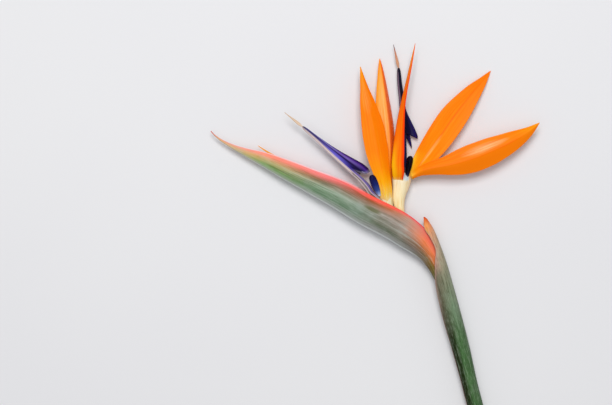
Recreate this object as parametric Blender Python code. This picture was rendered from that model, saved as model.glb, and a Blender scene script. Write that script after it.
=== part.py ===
"""A cut bird of paradise flower (Strelitzia reginae) lying on its side.

The layout is drawn in millimetres in the plane that the flower lies in: X to
the right, Y up along the stem, Z away from the surface it rests on. Every
organ follows a smooth spine and is lofted from cross-sections, as a botanist
would describe it: how long it is, how wide at each share of its length, how
far it is folded along its midrib and how far it is turned about its own axis.
The finished model stands in metres with its origin at the middle of its base.
"""

import math

import bmesh
import bpy
import numpy as np
from mathutils import Vector

# ---------------------------------------------------------------- dimensions
MM = 0.001

STEM_END = (139.0, -249.0, 4.9)    # centre of the cut end
STEM_R_END = 4.9                   # radius of the stem at the cut
STEM_R_TOP = 4.1                   # radius of the stem where the spathe sits on it
SHEATH_WALL = 0.85                 # thickness of the clasping bract
SPATHE_WALL = 1.25                 # thickness of the spathe's side
SPATHE_HALF_THICK = 8.2            # half the spathe's width across, at the flowers
SEPAL_THICK = 1.0                  # sepal at its midrib
SEPAL_EDGE = 0.34                  # sepal at its margin
TONGUE_R = 1.7                     # radius of the tongue's claw
TONGUE_WALL = 0.5

# ------------------------------------------------------------------- helpers


def curve_through(points, samples=400):
    """A smooth curve through the points: positions by share of its length."""
    p = np.array(points, float)
    chord = np.concatenate([[0], np.cumsum(np.sqrt(np.linalg.norm(np.diff(p, axis=0), axis=1)))])
    ext = np.vstack([2 * p[0] - p[1], p, 2 * p[-1] - p[-2]])
    knots = np.concatenate([[-(chord[1] - chord[0])], chord, [chord[-1] + chord[-1] - chord[-2]]])
    out = []
    for i in range(1, len(p)):
        t0, t1, t2, t3 = knots[i - 1:i + 3]
        a, b, c, d = ext[i - 1:i + 3]
        steps = np.linspace(t1, t2, samples // (len(p) - 1) + 2)
        for t in steps[:-1] if i < len(p) - 1 else steps:
            ab = a * (t1 - t) / (t1 - t0) + b * (t - t0) / (t1 - t0)
            bc = b * (t2 - t) / (t2 - t1) + c * (t - t1) / (t2 - t1)
            cd = c * (t3 - t) / (t3 - t2) + d * (t - t2) / (t3 - t2)
            abc = ab * (t2 - t) / (t2 - t0) + bc * (t - t0) / (t2 - t0)
            bcd = bc * (t3 - t) / (t3 - t1) + cd * (t - t1) / (t3 - t1)
            out.append(abc * (t2 - t) / (t2 - t1) + bcd * (t - t1) / (t2 - t1))
    out = np.array(out)
    length = np.concatenate([[0], np.cumsum(np.linalg.norm(np.diff(out, axis=0), axis=1))])
    share = length / length[-1]

    def at(t):
        return np.array([np.interp(t, share, out[:, k]) for k in range(3)])

    at.length = float(length[-1])
    return at


def profile(*pairs):
    """A smooth value along a length, from (share of the length, value) pairs."""
    x = np.array([q[0] for q in pairs], float)
    y = np.array([q[1] for q in pairs], float)
    h, d = np.diff(x), np.diff(y) / np.diff(x)
    m = np.zeros(len(x))
    m[0], m[-1] = d[0], d[-1]
    for i in range(1, len(x) - 1):
        if d[i - 1] * d[i] > 0:
            a, b = 2 * h[i] + h[i - 1], h[i] + 2 * h[i - 1]
            m[i] = (a + b) / (a / d[i - 1] + b / d[i])

    def at(t):
        t = min(max(t, x[0]), x[-1])
        i = min(max(int(np.searchsorted(x, t, side="right")) - 1, 0), len(h) - 1)
        s = (t - x[i]) / h[i]
        return float(
            (2 * s ** 3 - 3 * s ** 2 + 1) * y[i]
            + (s ** 3 - 2 * s ** 2 + s) * h[i] * m[i]
            + (-2 * s ** 3 + 3 * s ** 2) * y[i + 1]
            + (s ** 3 - s ** 2) * h[i] * m[i + 1]
        )

    return at


def stations(n, end_power=1.0, start_power=1.0):
    """n shares from 0 to 1, closer together towards the ends where the powers are over 1."""
    u = np.linspace(0, 1, n)
    a = u ** start_power
    b = 1 - (1 - u) ** end_power
    return a * (1 - u) + b * u


def frame_at(spine, t, roll):
    """Point, tangent, face normal and right-hand side of an organ at a share of its length."""
    e = 0.004
    c = spine(t)
    tan = spine(min(t + e, 1)) - spine(max(t - e, 0))
    tan /= np.linalg.norm(tan)
    n0 = np.array([0, 0, 1.0]) - tan * tan[2]
    n0 /= np.linalg.norm(n0)
    s0 = np.cross(tan, n0)
    r = math.radians(roll)
    n = n0 * math.cos(r) + s0 * math.sin(r)
    return c, tan, n, np.cross(tan, n)


def skin(name, rings, colour, roughness=0.5, cap="strip"):
    """A closed solid through a row of rings that all have the same number of points."""
    mesh = bpy.data.meshes.new(name)
    bm = bmesh.new()
    made = [[bm.verts.new(Vector(p) * MM) for p in ring] for ring in rings]
    n = len(made[0])
    for a, b in zip(made, made[1:]):
        for i in range(n):
            j = (i + 1) % n
            bm.faces.new((a[i], a[j], b[j], b[i]))
    for ring, flip in ((made[0], True), (made[-1], False)):
        if cap == "strip":
            for i in range(n // 2 - 1):
                face = (ring[i], ring[i + 1], ring[n - 2 - i], ring[n - 1 - i])
                bm.faces.new(face[::-1] if flip else face)
        else:
            bm.faces.new(ring[::-1] if flip else ring)
    bm.normal_update()
    bmesh.ops.recalc_face_normals(bm, faces=bm.faces)
    bm.to_mesh(mesh)
    bm.free()
    mesh.shade_smooth()
    mesh.set_sharp_from_angle(angle=math.radians(50))
    obj = bpy.data.objects.new(name, mesh)
    bpy.context.scene.collection.objects.link(obj)
    mat = bpy.data.materials.new(name)
    mat.use_nodes = True
    bsdf = mat.node_tree.nodes["Principled BSDF"]
    bsdf.inputs["Base Color"].default_value = (*colour, 1)
    bsdf.inputs["Roughness"].default_value = roughness
    bsdf.inputs["Metallic"].default_value = 0.0
    mesh.materials.append(mat)
    return obj


def sheet_section(half, fold, curl, thick, edge, nv):
    """Outline of a folded blade: 2 * nv points in (side, normal) coordinates.

    half is half its width along the surface, fold the slope of each side in
    degrees (positive cups it towards the normal) and curl an extra slope that
    comes in at the margins."""
    v = np.linspace(-1, 1, nv)
    fine = np.linspace(0, 1, 41)
    slope = np.radians(fold) * np.tanh(fine / 0.16) + np.radians(curl) * fine ** 3
    xs = np.concatenate([[0], np.cumsum(np.cos((slope[1:] + slope[:-1]) / 2) * np.diff(fine))]) * half
    ys = np.concatenate([[0], np.cumsum(np.sin((slope[1:] + slope[:-1]) / 2) * np.diff(fine))]) * half
    top, bottom = [], []
    for q in v:
        a = abs(q)
        x, y, s = (float(np.interp(a, fine, w)) for w in (xs, ys, slope))
        th = (edge + (thick - edge) * (1 - a ** 2.2)) / 2
        sign = 1 if q >= 0 else -1
        nx, ny = -math.sin(s) * sign, math.cos(s)
        top.append((sign * x + nx * th, y + ny * th))
        bottom.append((sign * x - nx * th, y - ny * th))
    return top + bottom[::-1]


def blade(name, points, width, roll, fold, curl, colour, nt=15, nv=7,
          thick=SEPAL_THICK, edge=SEPAL_EDGE, roughness=0.4):
    """A sepal or petal: a thin folded blade along a spine."""
    spine = curve_through(points)
    rings = []
    for t in stations(nt, end_power=1.5, start_power=1.1):
        c, _, n, s = frame_at(spine, t, roll(t))
        half = width(t) / 2
        th = min(thick, 0.30 * half + 0.22)
        ed = min(edge, 0.6 * th)
        rings.append([c + s * x + n * y
                      for x, y in sheet_section(half, fold(t), curl(t), th, ed, nv)])
    return skin(name, rings, colour, roughness)


def rod(name, points, radius, colour, nt=16, sides=10, flatten=None, roll=0.0,
        roughness=0.5, bevel_ends=True):
    """A round or oval stalk. radius(t) is its half-width in the plane, flatten(t) its depth share."""
    spine = curve_through(points)
    rings = []
    flatten = flatten or (lambda t: 1.0)
    for t in stations(nt):
        c, _, n, s = frame_at(spine, t, roll)
        r = radius(t)
        rings.append([c + s * r * math.cos(a) + n * r * flatten(t) * math.sin(a)
                      for a in np.linspace(0, 2 * math.pi, sides, endpoint=False)])
    return skin(name, rings, colour, roughness, cap="fan")


def wrap(name, points, outer, wall, near, far, colour, nt=22, nv=11, depth=None, roughness=0.6):
    """A bract wrapped round a stem: a C-shaped wall from the near margin round the right-hand
    side to the far margin. near and far are angles in degrees from the right-hand side."""
    spine = curve_through(points)
    rings = []
    for t in stations(nt):
        c, _, n, s = frame_at(spine, t, 0.0)
        r, w = outer(t), wall(t)
        d = depth(t) if depth else r
        angles = np.radians(np.linspace(-far(t), near(t), nv))
        out = [c + s * r * math.cos(a) + n * d * math.sin(a) for a in angles]
        inn = [c + s * (r - w) * math.cos(a) + n * (d - w) * math.sin(a) for a in angles]
        rings.append(out + inn[::-1])
    return skin(name, rings, colour, roughness)


# ------------------------------------------------------------------- colours
ORANGE = (0.95, 0.24, 0.005)
DEEP_ORANGE = (0.90, 0.17, 0.004)
CREAM = (0.85, 0.66, 0.32)
BLUE = (0.055, 0.035, 0.27)
DARK_BLUE = (0.010, 0.020, 0.13)
TAN = (0.66, 0.42, 0.27)
GREEN = (0.10, 0.17, 0.07)
GREY_GREEN = (0.19, 0.24, 0.16)
STEM_GREEN = (0.09, 0.18, 0.06)


def clear_scene():
    for o in list(bpy.data.objects):
        bpy.data.objects.remove(o)


# --------------------------------------------------------------- the organs


STEM_LINE = [STEM_END, (131.0, -206.0, 5.35), (123.4, -167.0, 5.75), (118.2, -142.5, 6.0),
             (114.8, -129.2, 6.2), (107.7, -100.5, 6.8), (101.9, -79.6, 7.4), (98.9, -66.8, 7.9)]


def make_stem():
    # The stem runs up inside the clasping bract and ends under the spathe.
    rod("peduncle", STEM_LINE,
        profile((0, STEM_R_END), (0.38, 4.7), (0.47, 4.3), (0.9, STEM_R_TOP), (1, 3.7)),
        STEM_GREEN, nt=15, sides=12)

    # The bract clasps the stem from a node below, and ends in a free point
    # beside the spathe's neck. Its margins meet on the left.
    wrap("stem_sheath",
         STEM_LINE[2:-1] + [(96.6, -59.2, 8.0), (91.9, -42.0, 8.5), (88.7, -31.0, 8.6),
                            (85.3, -20.4, 8.7), (83.0, -15.0, 8.7), (81.7, -10.2, 8.7)],
         profile((0, 5.5), (0.10, 5.55), (0.24, 5.5), (0.42, 6.25), (0.56, 6.55), (0.69, 6.2),
                 (0.78, 5.9), (0.85, 5.2), (0.92, 4.3), (0.965, 3.4), (0.988, 2.4), (1, 1.0)),
         profile((0, 0.5), (0.1, SHEATH_WALL), (0.9, 0.75), (1, 0.3)),
         profile((0, 173), (0.62, 173), (0.68, 166), (0.72, 150), (0.80, 112), (0.86, 82),
                 (0.91, 96), (0.95, 118), (1, 90)),
         profile((0, 168), (0.62, 168), (0.68, 160), (0.72, 142), (0.80, 106), (0.86, 88),
                 (0.92, 84), (1, 70)),
         GREEN, nt=22, nv=10,
         depth=profile((0, 5.5), (0.24, 5.5), (0.42, 6.25), (0.56, 6.55), (0.72, 6.6),
                       (0.85, 6.5), (0.92, 5.2), (0.965, 3.7), (0.988, 2.4), (1, 1.0)))


# The spathe's open margin and its keel, from the neck to the tip.
SPATHE_MARGIN = [(99.9, -60.0), (97.4, -50.5), (95.0, -41.0), (91.0, -31.0), (85.2, -20.9),
                 (77.5, -13.2), (67.5, -6.2), (46.2, 4.6), (29.4, 14.3), (7.0, 22.8),
                 (-14.6, 30.6), (-27.9, 34.9), (-40.4, 37.6), (-50.9, 40.6), (-59.3, 44.5),
                 (-63.5, 47.3), (-66.3, 50.1)]
SPATHE_KEEL = [(93.9, -61.4), (89.4, -53.4), (85.4, -46.4), (80.2, -40.2), (73.6, -35.4),
               (66.5, -31.4), (57.0, -25.5), (36.1, -14.4), (19.5, -4.1), (-1.0, 7.8),
               (-18.1, 17.5), (-32.1, 26.0), (-41.6, 31.5), (-51.0, 37.1), (-59.3, 42.5),
               (-63.6, 46.2), (-66.5, 49.4)]
SPATHE_Z = profile((0, 8.2), (0.5, 8.2), (0.8, 7.0), (1, 5.2))
SPATHE_HALF_WIDTH = profile((0, 3.0), (0.06, 3.2), (0.12, 4.0), (0.18, 5.2), (0.25, 6.9),
                            (0.36, SPATHE_HALF_THICK), (0.50, 7.4), (0.64, 5.6), (0.80, 3.2),
                            (0.90, 1.5), (0.96, 0.8), (1, 0.36))
SPATHE_GAP = profile((0, 0.3), (0.15, 0.4), (0.22, 1.6), (0.28, 6.0), (0.40, 6.2), (0.46, 2.6),
                     (0.60, 1.4), (0.80, 0.9), (0.88, 0.45), (1, 0.12))


def spathe_section(t, depth, nv):
    """Outline of the boat: far margin, keel, near margin, and back along the inside."""
    width, gap = SPATHE_HALF_WIDTH(t), SPATHE_GAP(t)
    wall = min(SPATHE_WALL, 0.36 * min(width, depth))
    outer = []
    for q in np.linspace(-1, 1, nv):
        a = abs(q) ** 0.92 * math.pi          # 0 at the keel, pi at the margins
        sign = 1 if q >= 0 else -1
        y = -depth * math.cos(a)
        x = width * max(math.sin(a), 0) ** 0.86 * (1 + 0.10 * math.cos(a))
        margin = max(0.0, (a / math.pi - 0.72) / 0.28)
        x = max(x, 0) + (wall + gap / 2) * margin ** 1.5
        outer.append((sign * x, y))
    outer = np.array(outer)
    d = np.gradient(outer, axis=0)
    n = np.stack([-d[:, 1], d[:, 0]], axis=1)
    n /= np.linalg.norm(n, axis=1, keepdims=True)
    mid = nv // 2
    if n[mid][1] < 0:                          # at the keel the way in is up
        n = -n
    shares = np.abs(np.linspace(-1, 1, nv))
    w = wall * (1 + 0.45 * np.exp(-(shares / 0.12) ** 2)) * (1 - 0.35 * shares ** 4)
    inner = outer + n * w[:, None]
    least = np.maximum(0.5 * gap, 0.06) * np.minimum(1, shares / 0.15)
    inner[:, 0] = np.sign(outer[:, 0]) * np.maximum(np.abs(inner[:, 0]), least)
    inner[mid, 0] = 0
    return outer, inner


def spathe_frame(t, margin, keel):
    """Centre, way across (up) and way to the margin of the spathe, and half its depth."""
    m, k = margin(t), keel(t)
    c = (m + k) / 2
    half = float(np.linalg.norm(m - k)) / 2
    c[2] = SPATHE_Z(t)
    return c, np.array([0, 0, 1.0]), (m - k) / (2 * half), half


def make_spathe(nt=26, nv=13):
    margin = curve_through([(x, y, 0) for x, y in SPATHE_MARGIN])
    keel = curve_through([(x, y, 0) for x, y in SPATHE_KEEL])
    rings = []
    for t in stations(nt, end_power=1.2):
        c, up, side, half = spathe_frame(t, margin, keel)
        outer, inner = spathe_section(t, half, nv)
        rings.append([c + side * y + up * x for x, y in outer]
                     + [c + side * y + up * x for x, y in inner[::-1]])
    skin("spathe", rings, GREY_GREEN, 0.6)

    rod("rachis", [(80.6, -28.4, 8.2), (72.5, -23.8, 8.2), (66.6, -21.6, 8.2)],
        profile((0, 1.7), (0.6, 2.4), (1, 2.6)), CREAM, nt=5, sides=8)
    rod("unopened_bud",
        [(55.6, -18.6, 8.1), (42.0, -8.6, 8.0), (17.0, 4.0, 7.8), (-6.0, 15.4, 7.3)],
        profile((0, 1.9), (0.15, 2.9), (0.5, 3.1), (0.8, 2.0), (0.95, 0.9), (1, 0.3)),
        CREAM, nt=10, sides=8)


def make_flower_a():
    # Fleshy base of the older flower.
    rod("flower_a_tube",
        [(62.6, -17.0, 8.3), (59.9, -9.6, 8.3), (57.8, -3.6, 8.4), (56.9, 3.1, 8.9)],
        profile((0, 2.2), (0.4, 2.7), (0.7, 3.1), (1, 3.6)), CREAM, nt=7, sides=12,
        flatten=profile((0, 1.0), (0.5, 0.98), (1, 0.84)))

    # Broad upright sepal, its outer face up.
    blade("flower_a_sepal_front",
          [(56.5, 3.6, 11.6), (55.8, 8.0, 13.2), (54.3, 15.4, 14.6), (51.6, 27.0, 15.8),
           (48.4, 43.7, 16.4), (46.8, 52.5, 16.4), (43.1, 69.0, 15.2), (39.8, 84.0, 12.8),
           (37.8, 94.5, 10.6)],
          profile((0, 7.0), (0.06, 8.4), (0.12, 9.8), (0.22, 12.8), (0.30, 15.6), (0.39, 17.2),
                  (0.47, 17.1), (0.57, 16.0), (0.66, 13.4), (0.755, 10.2), (0.83, 6.7),
                  (0.905, 4.0), (0.957, 2.0), (1, 0.5)),
          profile((0, 6), (0.3, 14), (1, 10)),
          profile((0, -36), (0.2, -24), (0.6, -17), (1, -26)),
          profile((0, 0), (0.5, 6), (1, -6)), ORANGE)

    # Glossy sepal behind it: a keel towards the viewer with its right side turned away.
    blade("flower_a_sepal_back",
          [(58.1, 3.8, 7.0), (58.2, 10.0, 7.6), (58.3, 18.0, 8.2), (58.6, 34.0, 8.9),
           (57.7, 50.0, 9.2), (55.8, 66.0, 8.8), (53.6, 84.0, 6.8), (51.5, 100.4, 3.6)],
          profile((0, 5.0), (0.08, 6.8), (0.20, 10.2), (0.36, 14.4), (0.49, 16.2), (0.61, 15.2),
                  (0.74, 11.6), (0.86, 7.0), (0.95, 3.2), (1, 0.5)),
          profile((0, 14), (0.2, 26), (0.5, 30), (0.8, 28), (1, 20)),
          profile((0, -34), (0.3, -36), (0.7, -36), (1, -30)),
          profile((0, 0), (1, 6)), DEEP_ORANGE)

    # Third sepal, still lodged in the spathe with only its point out.
    blade("flower_a_sepal_lower",
          [(54.4, -7.6, 8.4), (46.0, -1.4, 8.2), (28.0, 8.6, 8.05), (4.0, 20.4, 7.75),
           (-16.0, 28.8, 7.2), (-27.0, 35.0, 6.7), (-33.6, 39.6, 6.5)],
          profile((0, 4.0), (0.2, 6.6), (0.45, 6.8), (0.7, 4.8), (0.84, 2.6), (0.94, 1.6), (1, 0.5)),
          profile((0, 90), (1, 90)),
          profile((0, 64), (0.4, 74), (0.7, 78), (1, 70)),
          profile((0, 0), (1, 0)), ORANGE, nt=12, nv=5, thick=0.55, edge=0.28)

    blade("flower_a_hood",
          [(51.1, 4.4, 13.2), (49.9, 7.4, 14.8), (48.2, 11.2, 16.0), (46.2, 16.0, 16.7),
           (45.3, 19.1, 16.6)],
          profile((0, 2.8), (0.25, 5.6), (0.6, 7.0), (0.85, 6.4), (0.95, 4.6), (1, 2.2)),
          profile((0, -8), (1, -8)),
          profile((0, -44), (0.5, -40), (1, -44)),
          profile((0, -10), (1, -14)), DARK_BLUE, nt=8, nv=5, thick=0.7, edge=0.4)


def make_flower_b():
    rod("flower_b_tube",
        [(68.2, -17.4, 8.2), (66.2, -9.0, 8.2), (64.8, -2.0, 8.2), (64.8, 5.2, 8.3),
         (66.0, 11.6, 8.4), (66.3, 17.1, 8.5)],
        profile((0, 2.1), (0.25, 2.7), (0.46, 3.4), (0.67, 4.2), (0.85, 5.4), (1, 6.2)), CREAM,
        nt=10, sides=14, flatten=profile((0, 1.0), (0.3, 0.92), (0.5, 0.88), (1, 0.72)))

    # Keeled sepal seen along its edge: shut like a boat below, open above.
    blade("flower_b_sepal_keeled",
          [(60.6, 17.6, 14.4), (60.0, 26.0, 14.6), (60.9, 36.5, 14.8), (62.8, 50.4, 14.9),
           (65.3, 64.2, 14.8), (68.5, 78.1, 14.4), (71.8, 92.0, 13.7), (75.9, 110.6, 12.4)],
          profile((0, 14.0), (0.08, 18.6), (0.19, 17.6), (0.27, 16.0), (0.34, 14.6), (0.42, 13.2),
                  (0.49, 11.8), (0.57, 10.4), (0.72, 8.2), (0.80, 6.4), (0.875, 4.6), (0.95, 2.4),
                  (1, 0.5)),
          profile((0, 90), (1, 92)),
          profile((0, 66), (0.2, 66), (0.34, 58), (0.49, 41), (0.57, 32), (0.72, 22), (1, 18)),
          profile((0, 0), (1, 0)), ORANGE)

    # Upper sepal of the pair, hollow face up, its point resting on the table.
    blade("flower_b_sepal_upper",
          [(72.9, 17.2, 6.5), (78.4, 25.0, 7.0), (90.4, 41.6, 7.8), (103.6, 60.4, 7.0),
           (115.4, 75.4, 4.8), (123.0, 84.2, 2.6), (129.1, 92.0, 0.5)],
          profile((0, 5.0), (0.09, 11.0), (0.18, 15.4), (0.29, 18.2), (0.39, 19.6), (0.49, 20.0),
                  (0.59, 18.8), (0.69, 15.8), (0.8, 11.6), (0.9, 6.4), (0.96, 2.9), (1, 0.5)),
          profile((0, -12), (0.4, -4), (1, -4)),
          profile((0, 30), (0.3, 18), (0.7, 14), (1, 22)),
          profile((0, 0), (0.5, -6), (1, 0)), ORANGE)

    # Outer sepal of the pair, keel up.
    blade("flower_b_sepal_outer",
          [(73.6, 18.2, 12.2), (79.6, 21.6, 13.2), (86.8, 23.6, 14.2), (101.0, 26.2, 15.8),
           (115.0, 30.2, 16.8), (129.0, 35.6, 16.8), (143.0, 42.2, 15.2), (154.2, 48.7, 13.0),
           (162.4, 55.4, 10.8)],
          profile((0, 4.6), (0.07, 7.6), (0.15, 10.4), (0.22, 12.6), (0.29, 15.8), (0.37, 19.4),
                  (0.455, 21.0), (0.575, 20.2), (0.70, 17.0), (0.78, 14.0), (0.88, 8.8), (0.95, 4.2),
                  (1, 0.5)),
          profile((0, 4), (0.5, 6), (1, 4)),
          profile((0, -34), (0.3, -22), (0.7, -20), (1, -26)),
          profile((0, 0), (0.5, 8), (1, 0)), ORANGE)

    blade("flower_b_hood",
          [(70.3, 17.9, 11.3), (71.0, 22.0, 12.0), (72.1, 27.6, 12.3), (72.9, 32.4, 11.9)],
          profile((0, 2.6), (0.3, 4.6), (0.6, 5.6), (0.82, 6.0), (0.94, 4.6), (1, 2.2)),
          profile((0, 6), (1, 6)),
          profile((0, -44), (0.5, -40), (1, -44)),
          profile((0, -10), (1, -14)), DARK_BLUE, nt=8, nv=5, thick=0.7, edge=0.4)


def tongue_ring(frame, r, wall, near, far):
    """One ring of a tongue: a channel open on the side away from the wings, and two wings.

    near and far are (reach, spread in degrees, sweep) of the two wings: how far each goes,
    how far it stands off the middle plane and how far its tip trails behind."""
    c, tan, up, side = frame          # side: towards the wings; up: towards the near wing
    pts = []

    def put(p, q, back=0.0):
        pts.append(c + side * p + up * q - tan * back)

    lip = math.radians(142)
    root_out, root_in = math.radians(78), math.radians(34)
    for sign, (reach, spread, sweep) in ((1, near), (-1, far)):
        d = math.radians(spread)
        w = 0.26
        half = []
        for a in np.linspace(lip, root_out, 4):
            half.append((r * math.cos(a), r * math.sin(a), 0.0))
        rx, ry = r * math.cos(root_out), r * math.sin(root_out)
        ix, iy = r * math.cos(root_in), r * math.sin(root_in)
        tipx, tipy = ix + reach * math.cos(d), iy + reach * math.sin(d)
        nx, ny = -math.sin(d), math.cos(d)
        thin = min(w, 0.2 * reach + 0.02)
        for k in (0.5, 0.97):
            x = ix + (tipx - ix) * k
            y = iy + (tipy - iy) * k
            blend = 1 - k
            half.append((x + nx * thin + (rx - ix) * blend * 0.35,
                         y + ny * thin + max(0, ry - iy) * blend * 0.35, sweep * k ** 1.15))
        half.append((tipx, tipy, sweep))
        for k in (0.97, 0.5):
            x = ix + (tipx - ix) * k
            y = iy + (tipy - iy) * k
            half.append((x - nx * thin, y - ny * thin, sweep * k ** 1.15))
        half.append((ix, iy, 0.0))
        if sign == 1:
            for x, y, b in half:
                put(x, y, b)
            put(r, 0.0)
        else:
            for x, y, b in half[::-1]:
                put(x, -y, b)
    ri = r - wall
    inner_lip = math.radians(142)
    for a in np.linspace(-inner_lip, inner_lip, 7):
        put(ri * math.cos(a), ri * math.sin(a))
    return pts


def make_tongue(prefix, points, roll, notch, near, far, stigma, claw, nt=18):
    """near and far give each wing's reach, spread and sweep against the share from notch to tip.
    stigma is the way from the tongue's tip to the end of the stigma, claw the claw's radius."""
    spine = curve_through(points)
    radius = profile((0, 1.5), (0.06, 1.8), (0.13, claw), (0.19, claw), (0.28, TONGUE_R),
                     (notch, TONGUE_R), (0.75, 1.55), (0.93, 1.25), (0.975, 1.05), (1, 0.75))
    shares = list(np.linspace(0, notch - 0.006, 6)) + list(notch + (1 - notch) * stations(nt - 6, 1.2))
    rings = []
    for t in shares:
        c, tan, n, s = frame_at(spine, t, roll)
        # s is the wing side turned by roll, n the near side
        r = radius(t)
        if t < notch:
            flat = (0.02, 30, 0.0)
            a = b = flat
        else:
            u = (t - notch) / (1 - notch)
            a = tuple(f(u) for f in near)
            b = tuple(f(u) for f in far)
        rings.append(tongue_ring((c, tan, n, s), r, min(TONGUE_WALL, 0.34 * r), a, b))
    skin(prefix + "_tongue", rings, BLUE, 0.35, cap="fan")

    def inside(shift, lo, hi, n):
        out = []
        for t in np.linspace(lo, hi, n):
            c, tan, nn, s = frame_at(spine, t, roll)
            out.append(c + s * shift * radius(t))
        return out

    # Style: a thread at the bottom of the channel, and the stigma beyond the tip.
    tip, away = spine(1.0), np.array(stigma)
    path = inside(0.22, 0.03, 0.995, 9)
    path += [tip + away * 0.08, tip + away * 0.5, tip + away]
    run = curve_through(path).length
    out_at = 1 - float(np.linalg.norm(away)) / run
    rod(prefix + "_style", path,
        profile((0, 0.24), (out_at - 0.02, 0.22), (out_at + 0.012, 0.30), (out_at + 0.035, 0.95),
                (out_at + 0.07, 0.85), (0.95, 0.42), (1, 0.16)),
        TAN, nt=30, sides=5)
    # Anthers lying in the channel over the style.
    rod(prefix + "_stamens", inside(-0.30, 0.36, 0.955, 9),
        profile((0, 0.32), (0.1, 0.48), (0.8, 0.40), (1, 0.22)), CREAM, nt=9, sides=5)


def make_tongues():
    make_tongue(
        "flower_a",
        [(51.4, 1.8, 8.8), (48.7, 4.0, 9.3), (45.0, 7.4, 10.1), (42.5, 11.2, 10.7), (38.6, 15.7, 11.2),
         (32.3, 21.4, 11.5), (19.6, 32.8, 11.2), (6.9, 44.6, 10.6), (-2.6, 52.7, 9.9)],
        40.0, 0.385,
        (profile((0, 7.9), (0.1, 7.7), (0.2, 6.6), (0.4, 3.9), (0.6, 1.7), (0.8, 0.5), (1, 0.3)),
         profile((0, 26), (1, 22)),
         profile((0, 9.4), (0.2, 7.4), (0.4, 4.8), (0.6, 2.5), (0.8, 1.0), (1, 0.2))),
        (profile((0, 5.6), (0.2, 5.0), (0.4, 3.2), (0.6, 1.5), (0.8, 0.5), (1, 0.3)),
         profile((0, 16), (1, 18)),
         profile((0, 5.6), (0.2, 5.0), (0.4, 4.0), (0.6, 2.3), (0.8, 1.0), (1, 0.2))),
        (-12.4, 10.0, 0.3), 2.1)
    make_tongue(
        "flower_b",
        [(69.2, 17.8, 7.0), (68.9, 24.2, 6.9), (68.6, 33.3, 6.8), (68.3, 43.8, 6.6), (67.9, 54.3, 6.3),
         (67.0, 64.8, 5.9), (66.1, 74.6, 5.6), (65.2, 83.0, 5.4), (64.5, 94.0, 5.2)],
        35.0, 0.41,
        (profile((0, 9.4), (0.1, 6.8), (0.2, 4.3), (0.3, 2.1), (0.4, 1.0), (0.7, 0.5), (1, 0.3)),
         profile((0, 16), (1, 20)),
         profile((0, 4.4), (0.1, 3.0), (0.2, 2.0), (0.3, 1.1), (0.6, 0.5), (1, 0.2))),
        (profile((0, 6.6), (0.1, 4.2), (0.2, 3.0), (0.3, 1.7), (0.4, 1.0), (0.7, 0.5), (1, 0.3)),
         profile((0, 0), (1, 10)),
         profile((0, 11.0), (0.1, 5.0), (0.2, 2.4), (0.3, 1.2), (0.6, 0.5), (1, 0.2))),
        (-3.5, 16.2, 0.3), TONGUE_R)


def settle():
    """Stands the flower on Z = 0 with the middle of its footprint box at the origin."""
    lo, hi = np.full(3, np.inf), np.full(3, -np.inf)
    for o in bpy.data.objects:
        co = np.empty(len(o.data.vertices) * 3, np.float32)
        o.data.vertices.foreach_get("co", co)
        co = co.reshape(-1, 3)
        lo, hi = np.minimum(lo, co.min(0)), np.maximum(hi, co.max(0))
    shift = Vector((-(lo[0] + hi[0]) / 2, -(lo[1] + hi[1]) / 2, -lo[2]))
    for o in bpy.data.objects:
        for v in o.data.vertices:
            v.co += shift
    return shift


clear_scene()
make_stem()
make_spathe()
make_flower_a()
make_flower_b()
make_tongues()
SHIFT = settle()
print("shift_mm", [round(v * 1000, 3) for v in SHIFT])
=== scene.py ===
"""Looks of the cut bird of paradise flower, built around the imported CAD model.

Positions are in millimetres in the plane that the flower lies in, as in the CAD
source, and SHIFT moves them into the row frame. Every organ is a fine loft along
the same spine, width, fold and turn as its CAD node, with its veins, ribs,
creases and rounded margins in the mesh and its colours from per-vertex shares:
u along the organ, v across it.
"""

import math

import bpy
import numpy as np
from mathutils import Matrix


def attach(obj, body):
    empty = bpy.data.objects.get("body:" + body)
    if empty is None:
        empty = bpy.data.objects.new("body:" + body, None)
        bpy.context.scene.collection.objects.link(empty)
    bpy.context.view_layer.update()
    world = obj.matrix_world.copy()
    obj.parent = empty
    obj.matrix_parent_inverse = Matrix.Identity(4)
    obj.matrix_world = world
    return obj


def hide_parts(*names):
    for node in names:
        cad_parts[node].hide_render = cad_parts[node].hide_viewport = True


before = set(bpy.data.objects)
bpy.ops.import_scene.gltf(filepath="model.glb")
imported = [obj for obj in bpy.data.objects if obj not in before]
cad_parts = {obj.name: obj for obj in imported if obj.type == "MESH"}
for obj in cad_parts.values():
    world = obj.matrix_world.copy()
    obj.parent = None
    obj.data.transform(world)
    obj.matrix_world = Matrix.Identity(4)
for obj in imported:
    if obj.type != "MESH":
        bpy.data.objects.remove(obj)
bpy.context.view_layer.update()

MM = 0.001
SHIFT = np.array([-48.031, 69.631, 0.0])
QUICK = 1.0

# ------------------------------------------------------------------ geometry


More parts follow.
